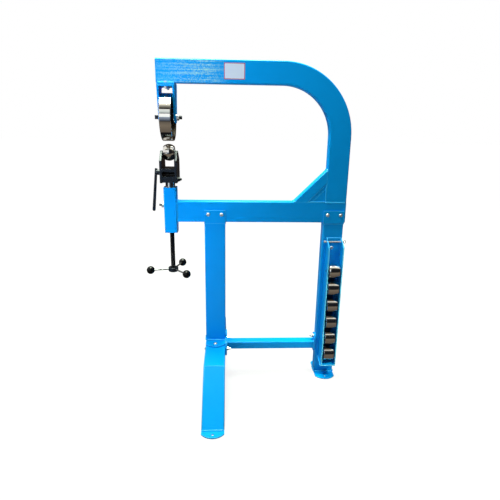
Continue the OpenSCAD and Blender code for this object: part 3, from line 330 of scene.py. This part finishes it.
# what isn't named here is painted plain blue
finishes = [
    (armPaint, ["top_arm"]),
    (flushPaint, ["arm_bend", "post"]),
    (rackPaint, ["rack_channel", "rack_floor"]),
    (blackSteel, ["anvil_yoke", "anvil_axle", "cam_shaft", "quick_lever", "yoke_base", "guide_pin",
                  "handwheel_hub", "wheel_axle", "lock_screw", "rack_axles"]),
    (oiledSteel, ["screw"]),
    (forgedSteel, ["upper_wheel"]),
    (polishedSteel, ["wheel_bearings", "anvil", "anvil_bearings"]
     + [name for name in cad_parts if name.startswith("rack_anvil")]),
    (groundChrome, ["ram"]),
    (zincPlate, ["fork_bolts", "frame_bolts", "frame_nuts", "axle_nut", "rack_pin", "lock_boss",
                 "wheel_spacers", "screw_retainer"]),
    (drawnSteel, ["spokes"]),
    (turnedBronze, ["ram_bushes", "screw_nut"]),
    (blackPhenolic, ["ball_knobs"]),
]
chosen = {name: material for material, names in finishes for name in names}
for name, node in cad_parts.items():
    node.data.materials.clear()
    node.data.materials.append(chosen.get(name, bluePaint))
print("nodes dressed")

# Broken edges: tubes, plates and the yoke are filed round before they are coated
edgeBreak = {"width": 0.9, "steps": 2, "sharpest": 35, "flatWithin": 0.5, "join": 0.001}
filed = ["lower_beam", "tube_caps", "brace_tube", "brace_filler", "fork_pad", "wheel_fork", "sleeve",
         "front_leg", "rear_leg", "front_saddle", "rear_saddle", "front_base_plate", "rear_base_plate",
         "foot_centre", "foot_front_arm", "foot_rear_arm", "foot_front_tab", "foot_rear_tab",
         "stretcher", "stretcher_left_plate", "stretcher_right_plate", "rack_channel", "rack_floor",
         "anvil_yoke", "yoke_base", "handwheel_hub", "quick_lever"]
for name in filed:
    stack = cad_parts[name].modifiers
    stack.new("joinedPoints", "WELD").merge_threshold = edgeBreak["join"] * mm
    flats = stack.new("wholeFlats", "DECIMATE")
    flats.decimate_type = "DISSOLVE"
    flats.angle_limit = math.radians(edgeBreak["flatWithin"])
    broken = stack.new("brokenEdges", "BEVEL")
    broken.width = edgeBreak["width"] * mm
    broken.segments = edgeBreak["steps"]
    broken.limit_method = "ANGLE"
    broken.angle_limit = math.radians(edgeBreak["sharpest"])
print("edges broken")


def joinRings(mesh, rings):
    # faces between neighbouring rings of points, where a ring of one point is a tip
    for low, high in zip(rings, rings[1:]):
        count = max(len(low), len(high))
        for k in range(count):
            n = (k + 1) % count
            if len(low) == 1:
                mesh.faces.new((low[0], high[n], high[k]))
            elif len(high) == 1:
                mesh.faces.new((low[k], low[n], high[0]))
            else:
                mesh.faces.new((low[k], low[n], high[n], high[k]))


def closeRings(mesh, rings):
    # the same with a flat face at both ends
    joinRings(mesh, rings)
    mesh.faces.new(list(reversed(rings[0])))
    mesh.faces.new(rings[-1])


def newPiece(name, mesh, material, body, smooth=35):
    # the finished mesh as an object of its own that rides on a body
    data = bpy.data.meshes.new(name)
    mesh.normal_update()
    mesh.to_mesh(data)
    mesh.free()
    piece = bpy.data.objects.new(name, data)
    scene.collection.objects.link(piece)
    data.materials.append(material)
    data.shade_smooth()
    data.set_sharp_from_angle(angle=math.radians(smooth))
    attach(piece, body)
    return piece


# Weld beads: a rippled round laid along each joint, half sunk in it
beadShape = {"step": 1.2, "sides": 10, "ripple": 4.2, "depth": 0.16, "middle": 0.6,
             "uneven": 0.6, "wander": 0.35, "sway": 0.25, "tip": 0.35, "tipRun": 2.2, "smooth": 60}
beadPace = {"uneven": 0.3, "wander": 0.17, "sway": 0.21}   # how quickly each changes, ripple by ripple
aside = Vector((0.31, 0.55, 0.77))   # any direction that no weld runs in


def alongPath(path):
    # even steps along a path, as place, direction and way travelled, and the path's length
    steps, travelled = [], 0.0
    for number, (start, end) in enumerate(zip(path, path[1:])):
        run = end - start
        count = max(2, round(run.length / (beadShape["step"] * mm)))
        last = number == len(path) - 2
        for i in range(count + 1 if last else count):
            share = i / count
            steps.append((start.lerp(end, share), run.normalized(), travelled + run.length * share))
        travelled += run.length
    return steps, travelled


def layBead(mesh, path, radius, seed):
    steps, length = alongPath(path)
    rings = []
    for place, along, travelled in steps:
        side = along.cross(aside).normalized()
        other = along.cross(side)
        phase = travelled / (beadShape["ripple"] * mm)
        uneven = beadShape["uneven"] * noise.noise((phase * beadPace["uneven"], seed, 0))
        crest = abs(math.sin(math.pi * phase + uneven))
        wander = beadShape["wander"] * noise.noise((phase * beadPace["wander"], seed, 5))
        wave = 1 + beadShape["depth"] * (crest - beadShape["middle"]) + wander
        nearEnd = min(travelled, length - travelled) / (beadShape["tipRun"] * radius)
        taper = min(1.0, beadShape["tip"] + nearEnd)
        sway = beadShape["sway"] * noise.noise((phase * beadPace["sway"], seed, 9))
        ring = []
        for k in range(beadShape["sides"]):
            a = 2 * math.pi * k / beadShape["sides"]
            offset = (side * math.cos(a) + other * math.sin(a)) * radius * wave * taper
            ring.append(mesh.verts.new(place + side * radius * sway + offset))
        rings.append(ring)
    closeRings(mesh, rings)


def aroundTube(left, right, z, out, cut=4):
    # round an upright tube, outside its walls and across its corners
    left, right, deep = left - out, right + out, half + out
    corners = [(left + cut, -deep), (right - cut, -deep), (right, -deep + cut), (right, deep - cut),
               (right - cut, deep), (left + cut, deep), (left, deep - cut), (left, -deep + cut)]
    return [(x, y, z) for x, y in corners + corners[:1]]


beamFoot, beamTop = reach("lower_beam", "z")
postX, postEnd = reach("post", "x")
braceX, braceTop = reach("brace_tube", "x")[0], reach("brace_tube", "z")[1]
plateFace = reach("brace_filler", "y")[0]
sleeveX = reach("sleeve", "x")[1]
armFoot = reach("top_arm", "z")[0]
padLeft, padRight = reach("fork_pad", "x")
footLeft, footRight = reach("foot_centre", "x")
footBend, footTop = reach("foot_centre", "y")[1], reach("foot_centre", "z")[1]
footEnd, tabTop = reach("foot_rear_arm", "y")[1], reach("foot_rear_tab", "z")[1]
barFoot, barTop = reach("stretcher", "z")
barEnds = (reach("stretcher_left_plate", "x")[1] + 1, reach("stretcher_right_plate", "x")[0] - 1)
bothFaces = (-1, 1)

beadRadius = {"legTop": 2.6, "legFoot": 4.0, "postFoot": 5.0, "brace": 2.8, "braceEnds": 3.0,
              "plate": 2.0, "plateLine": 1.3, "sleeve": 3.0, "forkPad": 3.4, "footTab": 3.0,
              "footBend": 1.4, "stretcher": 2.4}
# where the brace's welds begin, counted from the corner between post and beam
braceWelds = {"plate": 84, "plateLine": 63, "behind": 86}

# each weld as its runs, and each run as its points and the bead's radius
welds = {}
for name in ("front_leg", "rear_leg"):
    left, right = reach(name, "x")
    foot, top = reach(name, "z")
    welds["weld_" + name] = [(aroundTube(left, right, top - 1, -0.5), beadRadius["legTop"]),
                             (aroundTube(left, right, foot + 1, 0.5), beadRadius["legFoot"])]
y, z = half - 3, beamTop - 2
welds["weld_post_foot"] = [([(postX - 2, s * y, z), (postEnd - 3, s * y, z)], beadRadius["postFoot"])
                           for s in bothFaces]
# in front the brace and its filler plate are welded all round, behind only the brace's two ends
plate, line, behind = braceWelds["plate"], braceWelds["plateLine"], braceWelds["behind"]
y, across = half - 2.5, half - 5
welds["weld_brace"] = [
    ([(braceX - 2, -y, beamTop), (postX, -y, beamTop)], beadRadius["brace"]),
    ([(postX, -y, beamTop + 4), (postX, -y, braceTop - 2)], beadRadius["brace"]),
    ([(postX - plate, plateFace - 0.5, beamTop + 1), (postX - 1, plateFace - 0.5, beamTop + plate)],
     beadRadius["plate"]),
    ([(postX - line, plateFace + 0.5, beamTop + 1), (postX - 1, plateFace + 0.5, beamTop + line)],
     beadRadius["plateLine"]),
    ([(braceX - 2, y, beamTop), (postX - behind, y, beamTop)], beadRadius["brace"]),
    ([(postX, y, beamTop + behind), (postX, y, braceTop - 2)], beadRadius["brace"]),
    ([(postX - 1, -across, braceTop), (postX - 1, across, braceTop)], beadRadius["braceEnds"]),
    ([(braceX, -across, beamTop + 1), (braceX, across, beamTop + 1)], beadRadius["braceEnds"])]
x, y = sleeveX + 1, half - 1
welds["weld_sleeve"] = [([(x, s * y, beamFoot + 1), (x, s * y, beamTop - 1)], beadRadius["sleeve"])
                        for s in bothFaces]
welds["weld_sleeve"] += [([(x, -half + 3, z), (x, half - 3, z)], beadRadius["sleeve"])
                         for z in (beamFoot, beamTop)]
y, z = half + 1, armFoot + 1
welds["weld_fork_pad"] = [([(padLeft + 0.5, s * y, z), (padRight - 1.5, s * y, z)], beadRadius["forkPad"])
                          for s in bothFaces]
y, z = footEnd - 1, tabTop + 1
welds["weld_foot"] = [([(footLeft + 2, s * y, z), (footRight - 2, s * y, z)], beadRadius["footTab"])
                      for s in bothFaces]
y, z = footBend, footTop - 0.5
welds["weld_foot"] += [([(footLeft + 6, s * y, z), (footRight - 6, s * y, z)], beadRadius["footBend"])
                       for s in bothFaces]
welds["weld_stretcher"] = [([(x, -half + 1, z), (x, half - 1, z)], beadRadius["stretcher"])
                           for x in barEnds for z in (barFoot, barTop)]
welds["weld_stretcher"] += [([(x, s * half, barFoot + 2), (x, s * half, barTop - 2)], beadRadius["stretcher"])
                            for x in barEnds for s in bothFaces]
for name, runs in welds.items():
    mesh = bmesh.new()
    for number, (points, radius) in enumerate(runs):
        seed = len(name) * 1.7 + number * 3.1   # other ripples for each run
        layBead(mesh, [spot(*point) for point in points], radius * mm, seed)
    newPiece(name, mesh, weldPaint, "machine", beadShape["smooth"])
print("welds laid")

# Label: a plain vinyl sheet with a printed border and nothing on it
labelShape = {"x": (253, 344), "z": (1459, 1526), "border": 3.0, "corner": 1.5, "thick": 0.25,
              "ink": 0.05, "sunk": 0.1}


def roundedLoop(inset, steps=5):
    # the label's outline as length and height, set in from its edge
    radius = labelShape["corner"]
    left, right = labelShape["x"][0] + inset + radius, labelShape["x"][1] - inset - radius
    low, high = labelShape["z"][0] + inset + radius, labelShape["z"][1] - inset - radius
    loop = []
    for x, z, start in ((right, high, 0), (left, high, 90), (left, low, 180), (right, low, 270)):
        for i in range(steps + 1):
            a = math.radians(start + 90 * i / steps)
            loop.append((x + radius * math.cos(a), z + radius * math.sin(a)))
    return loop


def ringAt(mesh, loop, y):
    return [mesh.verts.new(spot(x, y, z)) for x, z in loop]


outline, inside = roundedLoop(0), roundedLoop(labelShape["border"])
sheetFace = -half - labelShape["thick"]
mesh = bmesh.new()
closeRings(mesh, [ringAt(mesh, outline, sheetFace), ringAt(mesh, outline, -half + labelShape["sunk"])])
bmesh.ops.recalc_face_normals(mesh, faces=mesh.faces)
newPiece("label_sheet", mesh, vinylSheet, "machine")
mesh = bmesh.new()
inkFront, inkBack = sheetFace - labelShape["ink"], -half - labelShape["sunk"]
corners = [ringAt(mesh, loop, y) for loop, y in ((outline, inkFront), (outline, inkBack),
                                                 (inside, inkBack), (inside, inkFront))]
joinRings(mesh, corners + corners[:1])
bmesh.ops.recalc_face_normals(mesh, faces=mesh.faces)
newPiece("label_border", mesh, vinylInk, "machine")
print("label stuck on")

# Nuts: chamfered at both ends and bored, in the places, sizes and turns of the plain ones
nutShape = {"chamferFrom": 0.97, "chamferAngle": 30, "pointsPerSide": 8,
            "frameBore": 0.298, "axleBore": 0.338}   # bores as a share of the size across the flats


def onCircle(mesh, base, radius, angle, z):
    # a new point at a radius, an angle and a height, in millimetres from the base
    x, y = radius * math.cos(angle), radius * math.sin(angle)
    return mesh.verts.new(base @ Vector((x * mm, y * mm, z * mm)))


def hexNut(mesh, base, across, height, bore):
    count = 6 * nutShape["pointsPerSide"]
    flat = across / 2
    inner = flat * nutShape["chamferFrom"]
    slope = math.tan(math.radians(nutShape["chamferAngle"]))
    rows = [[] for row in range(6)]
    for k in range(count):
        a = 2 * math.pi * k / count
        offFlat = (a + math.pi / 6) % (math.pi / 3) - math.pi / 6
        outer = flat / math.cos(offFlat)
        drop = (outer - inner) * slope
        section = ((bore, 0.0), (inner, 0.0), (outer, drop), (outer, height - drop),
                   (inner, height), (bore, height))
        for row, (radius, z) in zip(rows, section):
            row.append(onCircle(mesh, base, radius, a, z))
    joinRings(mesh, rows + rows[:1])


def looseBoxes(node):
    # lower and upper corner of each separate piece of a node's mesh
    mesh = bmesh.new()
    mesh.from_mesh(node.data)
    bmesh.ops.remove_doubles(mesh, verts=mesh.verts, dist=0.001 * mm)
    found, seen = [], set()
    for start in mesh.verts:
        if start in seen:
            continue
        group, queue = [], [start]
        seen.add(start)
        while queue:
            vert = queue.pop()
            group.append(node.matrix_world @ vert.co)
            for edge in vert.link_edges:
                other = edge.other_vert(vert)
                if other not in seen:
                    seen.add(other)
                    queue.append(other)
        found.append((Vector(min(v[i] for v in group) for i in range(3)),
                      Vector(max(v[i] for v in group) for i in range(3))))
    mesh.free()
    return found


for nodeName, boreShare in (("frame_nuts", nutShape["frameBore"]), ("axle_nut", nutShape["axleBore"])):
    mesh = bmesh.new()
    for low, high in looseBoxes(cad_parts[nodeName]):
        size = high - low
        order = sorted(range(3), key=lambda i: size[i])   # height, across the flats, across the corners
        axes = [Vector([1.0 if i == k else 0.0 for i in range(3)]) for k in order]
        height, across = size[order[0]] / mm, size[order[1]] / mm
        turned = Matrix((axes[1], axes[0].cross(axes[1]), axes[0])).transposed().to_4x4()
        foot = Matrix.Translation((low + high) / 2 - axes[0] * height * mm / 2)
        hexNut(mesh, foot @ turned, across, height, across * boreShare)
    nuts = newPiece(nodeName + "_chamfered", mesh, zincPlate, "machine")
    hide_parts(nodeName)
print("nuts cut")

# Screw: the cut thread runs up to the ram, the plain end in the ram has a groove for the retainer pins
screwCut = {"radius": 11, "pitch": 4.0, "depth": 1.3, "flank": 2.2, "crest": 0.6, "sides": 36,
            "rowsPerTurn": 8, "plainFoot": 20, "plainRadius": 10.9, "journal": 30, "journalRadius": 7.9,
            "groove": (19.7, 13.7), "grooveRadius": 6, "grooveSlope": 0.5, "chamfer": 1.1, "tipRadius": 7,
            "overlap": (0.2, 0.6)}   # how far the plain ends reach into the thread


def cutThread(mesh, base, start, end):
    # a right-hand helix with flat crests, run out at both ends
    depth, sides = screwCut["depth"], screwCut["sides"]
    rows = round((end - start) / screwCut["pitch"] * screwCut["rowsPerTurn"])
    rings = []
    for j in range(rows + 1):
        z = start + (end - start) * j / rows
        nearEnd = min(z - start, end - z)
        runOut = depth - nearEnd if nearEnd < depth else 0.0
        ring = []
        for k in range(sides):
            phase = (z / screwCut["pitch"] - k / sides) % 1.0
            tooth = max(0.0, min(1.0, screwCut["flank"] * abs(phase * 2 - 1) - screwCut["crest"]))
            ring.append(onCircle(mesh, base, screwCut["radius"] - depth * tooth - runOut,
                                 2 * math.pi * k / sides, z))
        rings.append(ring)
    closeRings(mesh, rings)


def lathe(mesh, base, profile, sides=48):
    # closed profile of radius and height, turned round Z
    joinRings(mesh, [[onCircle(mesh, base, r, 2 * math.pi * k / sides, z) for k in range(sides if r else 1)]
                     for r, z in profile])


screwFoot, screwTip = reach("screw", "z")
threadFoot, shoulder = screwFoot + screwCut["plainFoot"], screwTip - screwCut["journal"]
overFoot, underShoulder = threadFoot + screwCut["overlap"][0], shoulder - screwCut["overlap"][1]
plain, thin, deep = screwCut["plainRadius"], screwCut["journalRadius"], screwCut["grooveRadius"]
grooveFoot, grooveTop = (screwTip - down for down in screwCut["groove"])
slope = screwCut["grooveSlope"]
ramAxis = Matrix.Translation((wheelX, 0, 0))
mesh = bmesh.new()
cutThread(mesh, ramAxis, threadFoot, shoulder)
lathe(mesh, ramAxis, [(0, screwFoot), (plain, screwFoot), (plain, overFoot), (0, overFoot)])
lathe(mesh, ramAxis, [(0, underShoulder), (thin, underShoulder), (thin, grooveFoot),
                      (deep, grooveFoot + slope), (deep, grooveTop - slope), (thin, grooveTop),
                      (thin, screwTip - screwCut["chamfer"]), (screwCut["tipRadius"], screwTip),
                      (0, screwTip)])
thread = newPiece("screw_thread", mesh, oiledSteel, "handwheel")
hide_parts("screw")
print("screw cut")


# Floor, world and lamps: a white sweep with soft lamps, and dark flags that only shine in the metal
def seenDirectly(tree):
    # 1 for the camera, in a mirror and through glass, 0 for light that falls on something
    path = addNode(tree, "ShaderNodeLightPath")
    two = addNode(tree, "ShaderNodeMath", {"operation": "ADD"},
                  {0: path.outputs["Is Camera Ray"], 1: path.outputs["Is Glossy Ray"]})
    return addNode(tree, "ShaderNodeMath", {"operation": "ADD", "use_clamp": True},
                   {0: two.outputs[0], 1: path.outputs["Is Transmission Ray"]}).outputs[0]


ambient = {"colour": "#FFF8EA", "strength": 0.1}
world = bpy.data.worlds.new("world")
scene.world = world
world.use_nodes = True
sky = world.node_tree
sky.nodes.clear()
fill = addNode(sky, "ShaderNodeBackground",
               {"Color": linear(ambient["colour"]), "Strength": ambient["strength"]})
white = addNode(sky, "ShaderNodeBackground", {"Color": (1, 1, 1, 1), "Strength": 1.0})
blend = addNode(sky, "ShaderNodeMixShader", None,
                {0: seenDirectly(sky), 1: fill.outputs[0], 2: white.outputs[0]})
addNode(sky, "ShaderNodeOutputWorld", None, {"Surface": blend.outputs[0]})

# the floor glows a little short of white round the machine, so that the lamps' shadow shows on it, and
# turns white between two distances from the middle, in metres
floorLook = {"near": 0.86, "far": 1.0, "from": 0.9, "to": 3.2, "shadow": 0.12, "bounce": 0.4, "halfSide": 30}


def paleFloor(look):
    made, tree = newMaterial("floor_pale")
    bounce, shadow = ((look[n],) * 3 + (1,) for n in ("bounce", "shadow"))
    paper = addNode(tree, "ShaderNodeBsdfDiffuse", {"Color": bounce})
    place = addNode(tree, "ShaderNodeTexCoord").outputs["Object"]
    away = addNode(tree, "ShaderNodeVectorMath", {"operation": "LENGTH"}, {0: place}).outputs["Value"]
    glow = addNode(tree, "ShaderNodeMapRange",
                   {"interpolation_type": "SMOOTHSTEP", 1: look["from"], 2: look["to"], 3: look["near"],
                    4: look["far"]}, {0: away})
    shine = addNode(tree, "ShaderNodeEmission", {"Color": (1, 1, 1, 1)}, {"Strength": glow.outputs[0]})
    keepShadow = addNode(tree, "ShaderNodeBsdfDiffuse", {"Color": shadow})
    lit = addNode(tree, "ShaderNodeAddShader", None, {0: shine.outputs[0], 1: keepShadow.outputs[0]})
    mixed = addNode(tree, "ShaderNodeMixShader", None,
                    {0: seenDirectly(tree), 1: paper.outputs[0], 2: lit.outputs[0]})
    addNode(tree, "ShaderNodeOutputMaterial", None, {"Surface": mixed.outputs[0]})
    return made


def stagePlane(name, corners, material):
    # the floor or a card, which stands round the machine and is no part of it
    data = bpy.data.meshes.new(name)
    data.from_pydata([Vector(c) for c in corners], [], [(0, 1, 2, 3)])
    data.materials.append(material)
    plane = bpy.data.objects.new(name, data)
    scene.collection.objects.link(plane)
    return plane


side = floorLook["halfSide"]
stagePlane("floor", [(-side, -side, 0), (side, -side, 0), (side, side, 0), (-side, side, 0)],
           paleFloor(floorLook))

# Flags, in metres: cards that only glossy surfaces see, lying level or standing in front of, behind and
# beside the machine, each from the colour of its nearer or lower end to that of its farther or upper end
wall, back, ceiling = -3.6, 3.4, 3.6
flags = {
    "flag_floor_far": ((-4, -5, 0.002), (4, -1.5, 0.002), "#34363A", "#857A6C", 1.0),
    "flag_floor": ((-4, -1.5, 0.002), (4, -0.35, 0.002), "#857A6C", "#6C6258", 1.0),
    "flag_floor_near": ((-4, -0.35, 0.002), (0.1, 0.45, 0.002), "#1B1B1E", "#17171A", 1.0),
    "flag_floor_side": ((0.1, -0.35, 0.002), (4, 0.45, 0.002), "#6C6258", "#6B6156", 1.0),
    "flag_floor_back": ((-4, 0.45, 0.002), (4, 3, 0.002), "#6B6156", "#554C43", 1.0),
    "flag_right": ((-0.15, wall, 0), (5, wall, 4.2), "#1B1C20", "#232428", 1.0),
    "flag_left": ((-5, wall, 0.8), (-1.7, wall, 1.3), "#2C2D33", "#3C3E45", 1.0),
    "flag_strip": ((-4.4, wall, 0.05), (-1.7, wall, 0.8), "#DCE8EE", "#F2FBFF", 1.0),
    "flag_side_left": ((-4.4, wall, 0), (-4.4, back, 1.1), "#2C2D33", "#26272C", 1.0),
    "flag_skirting": ((-1.7, wall, 0), (-0.15, wall, 0.16), "#2C2D33", "#3A3C42", 1.0),
    "flag_window": ((-1.7, wall, 0.16), (-0.15, wall, 1.35), "#3C4350", "#A9B6CC", 1.0),
    "flag_bright": ((-1.7, wall, 1.35), (-0.15, wall, 2.35), "#F2FBFF", "#FFFFFF", 1.35),
    "flag_line": ((-1.7, wall, 2.35), (-0.15, wall, 2.6), "#66727E", "#66727E", 1.0),
    "flag_wall": ((-1.7, wall, 2.6), (-0.15, wall, 3.6), "#CDD6D6", "#F4FFFF", 1.1),
    "flag_rail": ((-4, -3.0, ceiling), (4, -2.45, ceiling), "#3A3836", "#1E1C1B", 1.0),
    "flag_ceiling_far": ((-4, -2.45, ceiling), (4, -1.5, ceiling), "#45423E", "#BDBAB0", 1.0),
    "flag_ceiling": ((-4, -1.5, ceiling), (4, -0.5, ceiling), "#FAF7E8", "#FFFDF2", 1.25),
    "flag_back": ((-4, back, 0), (5, back, 3), "#352B25", "#4A403A", 1.0),
    "flag_back_high": ((-4, back, 3), (5, back, 6), "#4A403A", "#6B625A", 1.0),
    "flag_side": ((4.4, wall, 0), (4.4, back, 4.5), "#2B2622", "#4A443F", 1.0),
}


def flagCloth(name, axis, start, end, first, second, strength):
    # an even change of colour along one axis, between two places
    made, tree = newMaterial(name)
    made.cycles.emission_sampling = "NONE"   # only reflected, never a lamp
    place = addNode(tree, "ShaderNodeTexCoord").outputs["Object"]
    along = addNode(tree, "ShaderNodeSeparateXYZ", None, {0: place}).outputs[axis]
    share = addNode(tree, "ShaderNodeMapRange", {1: start, 2: end}, {0: along})
    shade = addNode(tree, "ShaderNodeMix", {"data_type": "RGBA", 6: linear(first), 7: linear(second)},
                    {0: share.outputs[0]})
    glow = addNode(tree, "ShaderNodeEmission", {"Strength": strength}, {"Color": shade.outputs[2]})
    addNode(tree, "ShaderNodeOutputMaterial", None, {"Surface": glow.outputs[0]})
    return made


for name, (low, high, first, second, strength) in flags.items():
    if low[2] == high[2]:
        axis, corners = "Y", [low, (high[0], low[1], low[2]), high, (low[0], high[1], low[2])]
        start, end = low[1], high[1]
    else:
        axis, corners = "Z", [low, (high[0], high[1], low[2]), high, (low[0], low[1], high[2])]
        start, end = low[2], high[2]
    flag = stagePlane(name, corners, flagCloth(name, axis, start, end, first, second, strength))
    flag.visible_camera = flag.visible_diffuse = flag.visible_shadow = flag.visible_transmission = False

# Lamps, in metres, watts and degrees: soft panels, of which only the one above shows in the metal
lamps = {
    "lamp_near": {"place": (-1.9, -1.6, 1.2), "aim": (-0.55, 0, 0.92), "size": (0.4, 1.4), "spread": 31,
                  "power": 4.4, "colour": "#CBE2FF", "shines": False},
    "lamp_top": {"place": (-0.3, 0.2, 3.3), "aim": (-0.1, 0, 0.9), "size": (2.0, 1.2), "spread": 180,
                 "power": 266, "colour": "#F0FFE7", "shines": True},
    "lamp_arch": {"place": (0.2, -1.6, 2.6), "aim": (0.25, 0, 1.5), "size": (1.2, 0.4), "spread": 70,
                  "power": 1.9, "colour": "#FFFFF6", "shines": False},
    "lamp_low": {"place": (0.95, -0.9, 1.7), "aim": (0.45, -0.03, 0.1), "size": (0.3, 0.3), "spread": 28,
                 "power": 0.9, "colour": "#FFF6DC", "shines": False},
    "lamp_fill": {"place": (0.5, -3.2, 1.3), "aim": (0.2, 0, 0.8), "size": (2.0, 2.0), "spread": 180,
                  "power": 0.8, "colour": "#FFF0D6", "shines": False},
    "lamp_back": {"place": (-0.9, 2.6, 1.9), "aim": (0, 0, 0.8), "size": (2.0, 1.6), "spread": 120,
                  "power": 8, "colour": "#FFFFFF", "shines": False},
}
for name, lamp in lamps.items():
    data = bpy.data.lights.new(name, "AREA")
    data.shape = "RECTANGLE"
    data.size, data.size_y = lamp["size"]
    data.energy = lamp["power"]
    data.color = linear(lamp["colour"])[:3]
    data.spread = math.radians(lamp["spread"])
    light = bpy.data.objects.new(name, data)
    scene.collection.objects.link(light)
    light.location = lamp["place"]
    light.visible_glossy = lamp["shines"]
    towards = Vector(lamp["aim"]) - Vector(lamp["place"])
    light.rotation_euler = towards.to_track_quat("-Z", "Y").to_euler()
print("studio set")
